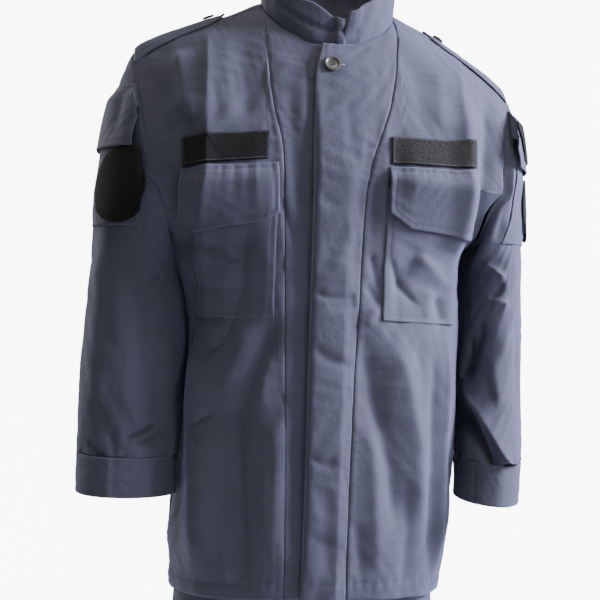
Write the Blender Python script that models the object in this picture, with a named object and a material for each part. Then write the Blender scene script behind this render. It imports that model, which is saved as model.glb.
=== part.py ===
"""A field uniform in plain weave: a shirt coat with a stand collar and its trousers, hollow as worn.

Metres, +Z up. The front faces -Y and the wearer's left is +X. The origin is the middle of the
collar's base, where the neck and shoulders hold the garment.
"""

import math

import bmesh
import bpy
from mathutils import Matrix, Vector

# Cloth and seams
WALL = 0.0020
BAND_WALL = 0.0026
SEAM = 0.00018  # each edge stands this far back from its seam line
LIE = 0.0011  # a sewn-on piece lies this far off the cloth below it

# Body of the coat
CHEST_Z = -0.230
ARMPIT_Z = -0.288
HEM_FRONT_Z = -0.712
HEM_SIDE_DROP = 0.017
SHOULDER_SEAM_Y = -0.020
NECK_HALF = 0.084
NECK_FRONT = 0.058
NECK_BACK = 0.084
FRONT_ROUND = 1.6
BACK_ROUND = 3.2
FLY_LIFT = 0.0056
COLLAR_HEIGHT = 0.047
COLLAR_END = 0.007

# Fittings
BUTTON_D = 0.020
BUTTON_T = 0.0034
SMALL_BUTTON_D = 0.015

# Trousers
WAIST_Z = -0.470
BAND_H = 0.042
FORK_TOP_Z = -0.600
FORK_Z = -0.742
ANKLE_Z = -1.430

# z, half width on the wearer's left and right, depth of the front and the back, roundness
TORSO = [
    (-0.770, 0.161, 0.167, 0.149, 0.136, 2.3),
    (-0.700, 0.172, 0.173, 0.148, 0.134, 2.3),
    (-0.650, 0.180, 0.175, 0.146, 0.129, 2.3),
    (-0.560, 0.184, 0.166, 0.141, 0.114, 2.3),
    (-0.500, 0.185, 0.162, 0.137, 0.104, 2.3),
    (-0.455, 0.185, 0.160, 0.134, 0.098, 2.3),
    (-0.396, 0.186, 0.162, 0.132, 0.097, 2.3),
    (-0.330, 0.184, 0.1785, 0.130, 0.100, 2.3),
    (-0.305, 0.188, 0.187, 0.129, 0.102, 2.3),
    (-0.288, 0.204, 0.202, 0.128, 0.104, 2.35),
    (-0.258, 0.232, 0.230, 0.126, 0.107, 2.45),
    (-0.230, 0.262, 0.262, 0.125, 0.108, 2.5),
]
# distance from the middle, height of the shoulder's ridge
RIDGE = [
    (0.000, 0.019),
    (0.050, 0.013),
    (0.084, 0.003),
    (0.130, -0.018),
    (0.190, -0.043),
    (0.225, -0.060),
    (0.245, -0.076),
    (0.262, -0.098),
]
LEFT_DROP = 0.020  # the wearer's left shoulder hangs lower at its end
# row, long seam left and right, fly edge, edge under the fly, mid line left and right
LINES = [
    (-1.000, 0.026, -0.045, -0.027, 0.012, 0.118, -0.112),
    (-0.716, 0.027, -0.047, -0.025, 0.012, 0.128, -0.118),
    (-0.409, 0.031, -0.052, -0.025, 0.013, 0.140, -0.132),
    (-0.300, 0.033, -0.054, -0.025, 0.013, 0.146, -0.146),
    (-0.120, 0.035, -0.057, -0.025, 0.013, 0.150, -0.149),
    (0.000, 0.039, -0.059, -0.025, 0.013, 0.150, -0.149),
    (0.250, 0.048, -0.063, -0.026, 0.013, 0.150, -0.149),
    (0.500, 0.068, -0.076, -0.026, 0.012, 0.151, -0.149),
    (0.750, 0.081, -0.081, -0.024, 0.010, 0.152, -0.149),
    (1.000, 0.084, -0.084, -0.014, 0.013, 0.152, -0.149),
]
# row above the chest line, the armhole's distance from the middle, in front and behind
ARMHOLE = [
    (0.00, 0.218, 0.214),
    (0.25, 0.222, 0.219),
    (0.50, 0.230, 0.228),
    (0.75, 0.237, 0.237),
    (1.00, 0.240, 0.240),
]
# z, middle x and y, half width across and half depth of a sleeve
SLEEVE_LEFT = [
    (-0.330, 0.2325, 0.018, 0.0410, 0.078),
    (-0.400, 0.2335, 0.015, 0.0430, 0.076),
    (-0.490, 0.2320, 0.000, 0.0430, 0.071),
    (-0.562, 0.2260, -0.035, 0.0385, 0.067),
    (-0.612, 0.2160, -0.066, 0.0370, 0.061),
]
SLEEVE_RIGHT = [
    (-0.330, -0.2318, 0.010, 0.0500, 0.074),
    (-0.400, -0.2265, 0.002, 0.0600, 0.068),
    (-0.490, -0.2290, -0.012, 0.0610, 0.063),
    (-0.562, -0.2305, -0.030, 0.0575, 0.053),
    (-0.612, -0.2300, -0.043, 0.0565, 0.046),
]
BICEP_Z = -0.330
CUFF_Z = -0.563
CUFF_END_Z = -0.609
CAP_SPRING = 0.62
CAP_BULGE = 0.50
SLEEVE_SEAM = 0.285  # share round the sleeve of its long seam
# z, half width, depth of the front and the back of the trousers above the fork
HIPS = [
    (-0.760, 0.160, 0.112, 0.118),
    (-0.700, 0.158, 0.116, 0.126),
    (-0.640, 0.155, 0.115, 0.1240),
    (-0.620, 0.153, 0.114, 0.1185),
    (-0.540, 0.145, 0.106, 0.097),
    (-0.470, 0.140, 0.098, 0.085),
    (-0.420, 0.140, 0.098, 0.085),
]
# z, middle x and y, half width and half depth of a leg
LEG = [
    (-0.560, 0.080, 0.000, 0.076, 0.110),
    (-0.742, 0.0835, 0.002, 0.0815, 0.104),
    (-0.850, 0.0870, 0.004, 0.0790, 0.092),
    (-1.000, 0.0930, 0.006, 0.0750, 0.080),
    (-1.150, 0.0960, 0.008, 0.0700, 0.074),
    (-1.300, 0.0990, 0.006, 0.0660, 0.072),
    (-1.430, 0.1010, 0.004, 0.0640, 0.072),
]
# side (1 front, -1 back), start x and z, end x and z, half width, height of a fold
FOLDS = [
    (1, -0.149, -0.065, -0.149, -0.300, 0.018, 0.0060),
    (1, -0.149, -0.300, -0.147, -0.400, 0.018, 0.0040),
    (1, -0.140, -0.425, -0.108, -0.455, 0.011, 0.0035),
    (1, -0.150, -0.505, -0.105, -0.640, 0.016, 0.0040),
    (1, -0.128, -0.500, -0.085, -0.560, 0.013, -0.0035),
    (1, -0.115, -0.590, -0.070, -0.690, 0.016, 0.0030),
    (1, 0.158, -0.420, 0.150, -0.690, 0.010, 0.0050),
    (1, 0.128, -0.440, 0.118, -0.700, 0.013, -0.0045),
    (1, 0.100, -0.430, 0.060, -0.600, 0.015, 0.0030),
    (1, 0.172, -0.075, 0.172, -0.160, 0.009, 0.0030),
    (-1, 0.110, -0.300, 0.060, -0.470, 0.020, 0.0040),
    (-1, -0.110, -0.300, -0.060, -0.470, 0.020, 0.0040),
    (-1, 0.140, -0.480, 0.110, -0.680, 0.018, -0.0040),
    (-1, -0.130, -0.500, -0.110, -0.690, 0.018, -0.0040),
]

# Rows and columns of the cloth
LOW_ROWS = [-1, -0.94, -0.84, -0.73, -0.62, -0.51, -0.40, -0.30, -0.21, -0.16]
ARMHOLE_ROWS = [-0.12, -0.114, -0.094, -0.056, 0.0]
FRONT_TOP_ROWS = [0.20, 0.40, 0.60, 0.80, 1.0]
BACK_TOP_ROWS = [0.17, 0.33, 0.48, 0.62, 0.75, 0.88, 1.0]
CAP_ROWS = [0.0, 0.12, 0.28, 0.45, 0.62, 0.8, 1.0]
SLEEVE_ROWS = 8
CENTRE_COLUMNS = 4
NECK_COLUMNS = 8


def smooth(t):
    t = min(1.0, max(0.0, t))
    return t * t * (3 - 2 * t)


def table_at(table, key):
    """The table's other columns at a key in its first column, along a smooth curve."""
    rows = sorted(table)
    if key <= rows[0][0]:
        return rows[0][1:]
    if key >= rows[-1][0]:
        return rows[-1][1:]
    i = max(k for k in range(len(rows) - 1) if rows[k][0] <= key)
    a, b = rows[i], rows[i + 1]
    before = rows[max(i - 1, 0)]
    after = rows[min(i + 2, len(rows) - 1)]
    step = b[0] - a[0]
    t = (key - a[0]) / step
    out = []
    for c in range(1, len(a)):
        into = (b[c] - before[c]) / (b[0] - before[0]) * step
        away = (after[c] - a[c]) / (after[0] - a[0]) * step
        out.append(
            (2 * t**3 - 3 * t**2 + 1) * a[c]
            + (t**3 - 2 * t**2 + t) * into
            + (3 * t**2 - 2 * t**3) * b[c]
            + (t**3 - t**2) * away
        )
    return out


def power(value, exponent):
    return math.copysign(abs(value) ** exponent, value)


def fold_height(side, x, z):
    total = 0.0
    for face, x0, z0, x1, z1, width, height in FOLDS:
        if face != side:
            continue
        dx, dz = x1 - x0, z1 - z0
        long = dx * dx + dz * dz
        t = ((x - x0) * dx + (z - z0) * dz) / long
        inside = min(1.0, max(0.0, t))
        off = math.hypot(x - x0 - inside * dx, z - z0 - inside * dz)
        total += height * math.exp(-((off / width) ** 2)) * smooth(1.2 - abs(inside - 0.5) * 1.2)
    return total


def ridge_z(x):
    """Height of the shoulder's ridge at a distance from the middle, positive on the wearer's left."""
    return table_at(RIDGE, abs(x))[0] - LEFT_DROP * smooth((x - 0.10) / 0.16)


def hem_z(theta):
    return HEM_FRONT_Z - HEM_SIDE_DROP * (1 - math.sin(theta)) ** 0.8 / 1.0


def top_end(theta):
    """The angle over the shoulder at which a panel ends: its seam or its neckline."""
    a0, _, bf, bb, n = table_at(TORSO, CHEST_Z)
    x = abs(a0 * abs(math.cos(theta)) ** (2 / n))
    across = math.sqrt(max(0.0, 1 - (x / NECK_HALF) ** 2))
    front = bf * abs(math.sin(theta)) ** (2 / n)
    edge = -SHOULDER_SEAM_Y + (NECK_FRONT * across if x < NECK_HALF else 0.0)
    if x > 0.2:
        edge = -SHOULDER_SEAM_Y - 0.008 * smooth((x - 0.2) / 0.04)
    to_seam = math.acos(min(1.0, edge / front) ** (FRONT_ROUND / 2))
    if theta > 0:
        return to_seam
    back = bb * abs(math.sin(theta)) ** (2 / n)
    low = SHOULDER_SEAM_Y + NECK_BACK * across**1.15
    if x >= NECK_HALF or low <= 0:
        near = -low if x < NECK_HALF else edge
        return math.pi - math.acos(min(1.0, near / front) ** (FRONT_ROUND / 2))
    return math.acos(min(1.0, low / back) ** (BACK_ROUND / 2))


def body_plain(theta, row):
    """A point of the coat's body; theta runs 0 left, pi/2 front, pi right, and -pi/2 is the back."""
    c, s = math.cos(theta), math.sin(theta)
    if row <= 0:
        z = CHEST_Z + row * (CHEST_Z - hem_z(theta))
        left, right, front, back, n = table_at(TORSO, z)
        x = (left if c > 0 else right) * power(c, 2 / n)
        y = -(front if s > 0 else back) * power(s, 2 / n)
        return Vector((x, y, z))
    left, _, front, back, n = table_at(TORSO, CHEST_Z)
    x = left * power(c, 2 / n)
    over = row * top_end(theta)
    ridge = ridge_z(x)
    behind = s < 0 and over < math.pi / 2
    depth = (back if behind else front) * abs(s) ** (2 / n)
    bend = BACK_ROUND if behind else FRONT_ROUND
    lean = abs(math.cos(over)) ** (2 / bend)
    rise = abs(math.sin(over)) ** (2 / bend)
    return Vector((x, depth * lean if behind else -depth * lean, CHEST_Z + (ridge - CHEST_Z) * rise))


def body(theta, row, lift=0.0):
    """A point of the body with its folds, and the way out of the cloth there."""
    e = 0.004
    p = body_plain(theta, row)
    along = body_plain(theta + e, row) - body_plain(theta - e, row)
    up = body_plain(theta, row + e) - body_plain(theta, row - e)
    out = along.cross(up)
    if out.length < 1e-12:
        out = Vector((0, 0, 1))
    out.normalize()
    side = 1 if theta > 0 else -1
    if out.dot(Vector((p.x, p.y, max(0.0, p.z + 0.35) if row > 0 else 0.0))) < 0:
        out.negate()
    return p + out * (lift + fold_height(side, p.x, p.z)), out


def theta_at(x, row, front=True):
    """The angle at which a row crosses a distance x from the middle."""
    theta = math.pi / 2
    for _ in range(3):
        z = CHEST_Z if row >= 0 else CHEST_Z + row * (CHEST_Z - hem_z(theta if front else -theta))
        left, right, _, _, n = table_at(TORSO, z)
        c = math.copysign(min(1.0, abs(x) / (left if x > 0 else right)) ** (n / 2), x)
        theta = math.acos(c)
    return theta if front else -theta


def side_theta(row, left, front=True):
    """The angle of the side seam, or above the armpit of the armhole's edge."""
    a0, _, _, _, n = table_at(TORSO, CHEST_Z)
    column = 0 if front else 1
    if row >= 0:
        t = math.acos((table_at(ARMHOLE, row)[column] / a0) ** (n / 2))
    else:
        low = ARMHOLE_ROWS[0]
        start = math.acos((ARMHOLE[0][1 + column] / a0) ** (n / 2))
        share = min(1.0, row / low)
        t = start * math.sqrt(max(0.0, 1 - share**2))
    t = t if left else math.pi - t
    return t if front else -t


def line(row, name, front=True):
    names = ["seam_left", "seam_right", "fly", "under", "mid_left", "mid_right"]
    return theta_at(table_at(LINES, row)[names.index(name)], row, front)


def spread(stations, counts):
    """Angles between stations, with a number of steps between each two."""
    out = [stations[0]]
    for (a, b), count in zip(zip(stations, stations[1:]), counts):
        out += [a + (b - a) * (k + 1) / count for k in range(count)]
    return out


def set_back(grid, edges, low=SEAM, aside=SEAM):
    """Moves the named edges of a grid of (point, way out) back from their seam lines."""
    rows, cols = len(grid), len(grid[0])
    moved = [[list(cell) for cell in r] for r in grid]
    if "first" in edges:
        for i in range(rows):
            moved[i][0][0] = grid[i][0][0] + (grid[i][1][0] - grid[i][0][0]).normalized() * aside
    if "last" in edges:
        for i in range(rows):
            moved[i][-1][0] = grid[i][-1][0] + (grid[i][-2][0] - grid[i][-1][0]).normalized() * aside
    if "top" in edges:
        for j in range(cols):
            moved[-1][j][0] = moved[-1][j][0] + (grid[-2][j][0] - grid[-1][j][0]).normalized() * SEAM
    if "bottom" in edges:
        for j in range(cols):
            moved[0][j][0] = moved[0][j][0] + (grid[1][j][0] - grid[0][j][0]).normalized() * low
    return moved


def material(name, colour, rough=0.8):
    found = bpy.data.materials.get(name)
    if found:
        return found
    made = bpy.data.materials.new(name)
    made.use_nodes = True
    shader = made.node_tree.nodes["Principled BSDF"]
    shader.inputs["Base Color"].default_value = (*colour, 1)
    shader.inputs["Roughness"].default_value = rough
    shader.inputs["Metallic"].default_value = 0.0
    return made


def add_object(name, mesh, look):
    obj = bpy.data.objects.new(name, mesh)
    bpy.data.collections["uniform"].objects.link(obj)
    mesh.materials.append(look)
    mesh.shade_smooth()
    mesh.set_sharp_from_angle(angle=math.radians(50))
    return obj


def cloth(name, grid, look, wall=WALL):
    """A wall of cloth: a grid laid on its outer points, then extruded inwards."""
    rows, cols = len(grid) - 1, len(grid[0]) - 1
    bm = bmesh.new()
    bmesh.ops.create_grid(bm, x_segments=cols, y_segments=rows, size=1.0)
    number = bm.verts.layers.int.new("number")
    for v in bm.verts:
        j = round((v.co.x + 1) / 2 * cols)
        i = round((v.co.y + 1) / 2 * rows)
        v[number] = i * (cols + 1) + j
        v.co = grid[i][j][0]
    made = bmesh.ops.extrude_face_region(bm, geom=bm.faces[:], use_keep_orig=True)
    for v in made["geom"]:
        if isinstance(v, bmesh.types.BMVert):
            i, j = divmod(v[number], cols + 1)
            cell = grid[i][j]
            v.co = cell[0] - cell[1] * (cell[2] if len(cell) > 2 else wall)
    bmesh.ops.recalc_face_normals(bm, faces=bm.faces[:])
    mesh = bpy.data.meshes.new(name)
    bm.to_mesh(mesh)
    bm.free()
    return add_object(name, mesh, look)


def neck_angles(row):
    """Angles across the back between the neck's sides, closest together near them."""
    turns = [math.pi * k / NECK_COLUMNS for k in range(NECK_COLUMNS + 1)]
    return [theta_at(NECK_HALF * math.cos(t), row, False) for t in turns]


def body_grid(rows, stations_of, counts, front=True, lift_of=None):
    grid = []
    for row in rows:
        angles = spread(stations_of(row), counts) if counts else stations_of(row)
        grid.append([list(body(t, row, lift_of(t, row) if lift_of else 0.0)) for t in angles])
    return grid


def fly_lift(theta, row):
    """The left front rises off the right front from its long seam to its free edge."""
    far = line(row, "seam_left")
    near = line(row, "under")
    return FLY_LIFT * smooth((theta - far) / max(1e-6, near - far))


def armhole_cells(left):
    """The armhole's edge from the armpit up the front, over the shoulder and down the back."""
    front = ARMHOLE_ROWS + FRONT_TOP_ROWS
    back = ARMHOLE_ROWS + BACK_TOP_ROWS[:-1]
    cells = [body(side_theta(r, left), r) for r in front]
    cells += [body(side_theta(r, left, False), r) for r in reversed(back)]
    return cells


def arc_shares(points):
    far = [0.0]
    for a, b in zip(points, points[1:]):
        far.append(far[-1] + (b - a).length)
    return [f / far[-1] for f in far]


def along(points, shares, share):
    share = min(1.0, max(0.0, share))
    for k in range(len(shares) - 1):
        if share <= shares[k + 1]:
            t = (share - shares[k]) / max(1e-9, shares[k + 1] - shares[k])
            return points[k].lerp(points[k + 1], t)
    return points[-1].copy()


class Sleeve:
    """A sleeve's surface: share goes round from the underarm seam by way of the front."""

    def __init__(self, left):
        self.left = left
        self.out = 1 if left else -1
        self.sections = SLEEVE_LEFT if left else SLEEVE_RIGHT
        self.cells = armhole_cells(left)
        self.points = [c[0] for c in self.cells]
        self.shares = arc_shares(self.points)

    def ring(self, share, z):
        cx, cy, rx, ry = table_at(self.sections, z)
        a = 2 * math.pi * share
        return Vector((cx - self.out * rx * math.cos(a), cy - ry * math.sin(a), z))

    def at(self, share, t):
        """A point; t runs 0 to 1 over the cap and 1 to 2 down to the cuff's end."""
        if t >= 1:
            return self.ring(share, BICEP_Z + (t - 1) * (CUFF_END_Z - BICEP_Z))
        start = along(self.points, self.shares, share)
        end = self.ring(share, BICEP_Z)
        reach = (end - start).length
        topness = math.sin(math.pi * min(1, max(0, share))) ** 2
        way = (end - start).normalized() + Vector((self.out * CAP_BULGE * topness, 0, 0))
        way.normalize()
        into = way * reach * CAP_SPRING
        away = Vector((0, 0, -1)) * reach * CAP_SPRING
        return (
            start * (2 * t**3 - 3 * t**2 + 1)
            + into * (t**3 - 2 * t**2 + t)
            + end * (3 * t**2 - 2 * t**3)
            + away * (t**3 - t**2)
        )

    def t_of(self, z):
        return 1 + (z - BICEP_Z) / (CUFF_END_Z - BICEP_Z)

    def cell(self, share, t, lift=0.0):
        e = 0.004
        p = self.at(share, t)
        lo, hi = max(0.0, share - e), min(1.0, share + e)
        low, high = max(0.0, t - e), t + e
        out = (self.at(hi, t) - self.at(lo, t)).cross(self.at(share, high) - self.at(share, low))
        out.normalize()
        cx, cy, _, _ = table_at(self.sections, p.z)
        if out.dot(p - Vector((cx - self.out * 0.02, cy, p.z - 0.03))) < 0:
            out.negate()
        return [p + out * lift, out]


def mitred(cell_a, cell_b, wall=WALL):
    """The way out and the wall's depth on the bisector of two cloths that meet at a seam."""
    mid = (cell_a[1] + cell_b[1]).normalized()
    return mid, wall / max(0.5, mid.dot(cell_a[1]))


def torso_panels(cloth_look, sleeves):
    low = LOW_ROWS
    arm = ARMHOLE_ROWS
    front_rows = low + arm + FRONT_TOP_ROWS
    back_rows = low + arm + BACK_TOP_ROWS

    def left_centre(row):
        middle = table_at(LINES, row)[3]
        end = middle + (COLLAR_END - middle) * smooth(row)
        return [line(row, "seam_left"), theta_at(end, row), line(row, "fly")]

    def right_centre(row):
        return [line(row, "seam_right"), line(row, "fly"), line(row, "under")]

    grid = body_grid(front_rows, left_centre, [CENTRE_COLUMNS, 3], lift_of=fly_lift)
    cloth("front_left", set_back(grid, ["first", "top"]), cloth_look, WALL + 0.0004)
    grid = body_grid(front_rows, right_centre, [CENTRE_COLUMNS, 2])
    cloth("front_right", set_back(grid, ["first", "top"]), cloth_look)

    for left in (True, False):
        word = "left" if left else "right"

        def side(row, left=left, word=word):
            return [line(row, "seam_" + word), line(row, "mid_" + word), side_theta(row, left)]

        grid = body_grid(front_rows, side, [4, 5])
        start = len(low)
        sleeve = sleeves[left]
        for k in range(len(arm) + len(FRONT_TOP_ROWS)):
            cell = grid[start + k][-1]
            mid, deep = mitred(cell, sleeve.cell(sleeve.shares[k], 0.0))
            grid[start + k][-1] = [cell[0], mid, deep]
        cloth("front_side_" + word, set_back(grid, ["first", "last", "top"]), cloth_look)

    def behind(row):
        neck = neck_angles(row)
        left = [side_theta(row, True, False), line(row, "mid_left", False), neck[0]]
        right = [neck[-1], line(row, "mid_right", False), side_theta(row, False, False)]
        return spread(left, [5, 4])[:-1] + neck + spread(right, [4, 5])[1:]

    grid = body_grid(back_rows, behind, None)
    start = len(low)
    for left, column in ((True, 0), (False, -1)):
        sleeve = sleeves[left]
        last = len(sleeve.shares) - 1
        for k in range(len(arm) + len(BACK_TOP_ROWS)):
            index = last - k
            cell = grid[start + k][column]
            mid, deep = mitred(cell, sleeve.cell(sleeve.shares[index], 0.0))
            grid[start + k][column] = [cell[0], mid, deep]
    cloth("back", set_back(grid, ["first", "last", "top"]), cloth_look)


def sleeve_and_cuff(sleeve, cloth_look):
    word = "left" if sleeve.left else "right"
    end = sleeve.t_of(CUFF_Z)
    rows = CAP_ROWS + [1 + (end - 1) * (k + 1) / SLEEVE_ROWS for k in range(SLEEVE_ROWS)]
    grid = []
    for t in rows:
        grid.append([sleeve.cell(s, t) for s in sleeve.shares])
    for j, share in enumerate(sleeve.shares):
        grid[0][j] = [grid[0][j][0], *mitred(sleeve.cells[j], grid[0][j])]
    seam_at = min(range(len(sleeve.shares)), key=lambda k: abs(sleeve.shares[k] - SLEEVE_SEAM))
    for where, part in (("front", slice(0, seam_at + 1)), ("back", slice(seam_at, None))):
        piece = [cells[part] for cells in grid]
        piece = set_back(piece, ["first", "last", "bottom", "top"], 0.0005, 0.0003)
        cloth(f"sleeve_{where}_{word}", piece, cloth_look)
    rows = [end + (2 - end) * k / 2 for k in range(3)]
    grid = [[sleeve.cell(s, t, 0.0006) for s in sleeve.shares] for t in rows]
    cloth("cuff_" + word, set_back(grid, ["first", "last", "bottom"]), cloth_look, BAND_WALL)


def front_theta(x, z):
    """The angle and row of a point of the front, given by its distance and height."""
    low, high = -1.0, 1.0
    for _ in range(30):
        row = (low + high) / 2
        theta = theta_at(x, row)
        if body_plain(theta, row).z < z:
            low = row
        else:
            high = row
    return theta_at(x, row), row


def on_front(name, corners, cols, rows, lift, wall, look, edge=None):
    """A piece on the chest: corners are (x, z) bottom left, bottom right, top right, top left."""
    bl, br, tr, tl = [Vector(c) for c in corners]
    grid = []
    for i in range(rows + 1):
        v = i / rows
        cells = []
        for j in range(cols + 1):
            u = j / cols
            p = bl.lerp(br, u).lerp(tl.lerp(tr, u), v)
            if edge:
                p = p + Vector((0, edge(u) * (1 - v)))
            clear = 0.0020 * smooth((abs(p.x) - 0.135) / 0.02)
            cells.append(list(body(*front_theta(p.x, p.y), lift(u, v) + wall + clear)))
        grid.append(cells)
    cloth(name, grid, look, wall)


def on_sleeve(name, sleeve, share0, share1, z0, z1, cols, rows, lift, wall, look, disc=False, slant=0.0):
    """A piece on a sleeve, between two shares round it and two heights, or a disc within them."""
    grid = []
    for i in range(rows + 1):
        cells = []
        for j in range(cols + 1):
            u, v = 2 * j / cols - 1, 2 * i / rows - 1
            if disc:
                u, v = u * math.sqrt(1 - v * v / 2), v * math.sqrt(1 - u * u / 2)
            share = share0 + (share1 - share0) * (u + 1) / 2 + slant * (1 - u) / 2 * (v + 1) / 2
            z = z0 + (z1 - z0) * (v + 1) / 2
            low, high = 0.0, 1.8
            for _ in range(26):
                t = (low + high) / 2
                if sleeve.at(share, t).z > z:
                    low = t
                else:
                    high = t
            cells.append(sleeve.cell(share, t, lift((u + 1) / 2, (v + 1) / 2) + wall))
        grid.append(cells)
    cloth(name, grid, look, wall)


def disc(name, place, out, diameter, thick, look):
    bm = bmesh.new()
    bmesh.ops.create_cone(
        bm,
        cap_ends=True,
        segments=24,
        radius1=diameter / 2,
        radius2=diameter / 2,
        depth=thick,
    )
    turn = Vector((0, 0, 1)).rotation_difference(out).to_matrix().to_4x4()
    bmesh.ops.transform(bm, matrix=Matrix.Translation(place + out * thick / 2) @ turn, verts=bm.verts)
    rim = [e for e in bm.edges if e.calc_face_angle(0) > 1.2]
    bmesh.ops.bevel(bm, geom=rim, offset=thick * 0.22, segments=1, affect="EDGES")
    mesh = bpy.data.meshes.new(name)
    bm.to_mesh(mesh)
    bm.free()
    return add_object(name, mesh, look)


def collar_line():
    """The neckline from the collar's right end round the back to its left end."""
    cells = []
    for theta in spread([line(1, "under"), line(1, "fly"), line(1, "seam_right")], [2, CENTRE_COLUMNS]):
        cells.append(body(theta, 1.0))
    for theta in reversed(neck_angles(1.0)[:-1]):
        cells.append(body(theta, 1.0))
    for theta in spread([line(1, "seam_left"), theta_at(COLLAR_END, 1)], [CENTRE_COLUMNS])[1:]:
        cells.append(body(theta, 1.0, fly_lift(theta, 1.0)))
    return cells


def collar(look):
    base = collar_line()
    points = [c[0] for c in base]
    shares = arc_shares(points)
    long = sum((b - a).length for a, b in zip(points, points[1:]))
    grid = []
    for k in range(4):
        cells = []
        for i, p in enumerate(points):
            run = points[min(len(points) - 1, i + 1)] - points[max(0, i - 1)]
            out = Vector((-run.y, run.x, 0)).normalized()
            if out.dot(Vector((p.x, p.y + 0.01, 0))) < 0:
                out.negate()
            from_right, from_left = shares[i] * long, (1 - shares[i]) * long
            tall = COLLAR_HEIGHT - 0.018 * smooth(1 - from_right / 0.045) - 0.008 * smooth(1 - from_left / 0.045)
            up = tall * k / 3
            fall = 0.12 if p.y < -0.05 else 0.02
            place = p + Vector((0, 0, 2.2 * SEAM + up)) + out * up * fall
            place.x += 0.24 * up * smooth(1 - from_left / 0.03) - 0.05 * up * smooth(1 - from_right / 0.03)
            cells.append([place, out])
        grid.append(cells)
    cloth("collar", grid, look, BAND_WALL)


def strap(name, left, look, button_look):
    """A shoulder strap from the armhole to its button near the neck."""
    side = 1 if left else -1
    xs = [0.236, 0.215, 0.190, 0.165, 0.148, 0.137, 0.127]
    half = [0.024, 0.024, 0.0235, 0.023, 0.022, 0.017, 0.004]
    grid = []
    for x, reach in zip(xs, half):
        cells = []
        for k in range(5):
            y = -0.004 + reach * (k / 2 - 1)
            ridge = ridge_z(side * x)
            a0, _, bf, bb, n = table_at(TORSO, CHEST_Z)
            theta = math.acos((x / a0) ** (n / 2))
            deep = (bf if y < 0 else bb) * math.sin(theta) ** (2 / n)
            bend = FRONT_ROUND if y < 0 else BACK_ROUND
            drop = 1 - (1 - (abs(y) / deep) ** bend) ** (1 / bend)
            z = ridge - (ridge - CHEST_Z) * drop
            fall = (ridge_z(side * (x - 0.004)) - ridge_z(side * (x + 0.004))) / 0.008
            slope = Vector((side * fall, y / 0.12, 1.0)).normalized()
            cells.append([Vector((side * x, y, z)) + slope * (0.0015 + WALL + 0.0006 * (2 - abs(k - 2))), slope])
        grid.append(cells)
    cloth(name, grid, look)
    cell = grid[4][2]
    disc("button_" + name, cell[0] + cell[1] * 0.0003, cell[1], SMALL_BUTTON_D, 0.003, button_look)


def trouser_cell(side, back, w, z):
    """A point of a trouser panel: w runs from the middle or inner seam to the outer seam."""
    half, front, rear = table_at(HIPS, z)
    cx, cy, rx, ry = table_at(LEG, z)
    n = 2.4
    a = w * math.pi / 2
    deep = rear if back else front
    hip = Vector((half * power(math.sin(a), 2 / n), deep * power(math.cos(a), 2 / n), 0))
    b = w * math.pi
    leg = Vector((cx - rx * math.cos(b), ry * math.sin(b), 0))
    mix = smooth((FORK_TOP_Z - z) / (FORK_TOP_Z - FORK_Z))
    at = hip.lerp(leg, mix)
    way = 1 if back else -1
    at.x = max(at.x, 0.0)
    return Vector((side * at.x, way * at.y + cy * mix, z))


def trousers(look):
    levels = [ANKLE_Z, -1.30, -1.18, -1.06, -0.95, -0.86, -0.79, FORK_Z]
    levels += [-0.722, -0.70, -0.675, -0.645, FORK_TOP_Z, -0.55, WAIST_Z - BAND_H]
    e = 0.003
    for side, word in ((1, "left"), (-1, "right")):
        for back, where in ((False, "front"), (True, "back")):
            grid = []
            for z in levels:
                cells = []
                for k in range(9):
                    w = k / 8
                    p = trouser_cell(side, back, w, z)
                    run = trouser_cell(side, back, min(1, w + e), z) - trouser_cell(side, back, max(0, w - e), z)
                    rise = trouser_cell(side, back, w, z + e) - trouser_cell(side, back, w, z - e)
                    out = run.cross(rise).normalized()
                    if z > FORK_TOP_Z:
                        middle = Vector((0, 0, z))
                    else:
                        middle = Vector((side * 0.06, 0, z))
                    if out.dot(p - middle) < 0:
                        out.negate()
                    if w in (0, 1) and z <= FORK_Z:
                        out = Vector((math.copysign(1, out.x), 0, 0))
                    elif w == 1:
                        out = Vector((side, 0, 0))
                    elif w == 0 and z >= FORK_TOP_Z:
                        out = Vector((0, 1 if back else -1, 0))
                    if w == 0 and z > FORK_Z:
                        p.x = side * 0.0004 + p.x
                        out.x = 0
                        out.normalize()
                    cells.append([p, out])
                grid.append(cells)
            cloth(f"trouser_{where}_{word}", set_back(grid, ["first", "last", "top"]), look)
    cells_low, cells_high = [], []
    steps = 32
    for k in range(steps + 1):
        a = 2 * math.pi * (k / steps) * 0.9995 - math.pi / 2 + 0.0008
        out = []
        for z in (WAIST_Z - BAND_H, WAIST_Z):
            half, front, rear = table_at(HIPS, z)
            c, s = math.cos(a), math.sin(a)
            out.append(Vector((half * power(c, 2 / 2.4), (rear if s > 0 else front) * power(s, 2 / 2.4), z)))
        way = Vector((math.cos(a), math.sin(a), 0))
        cells_low.append([out[0] + Vector((0, 0, SEAM)), way])
        cells_high.append([out[1], way])
    cloth("waistband", [cells_low, cells_high], look, BAND_WALL)


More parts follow.
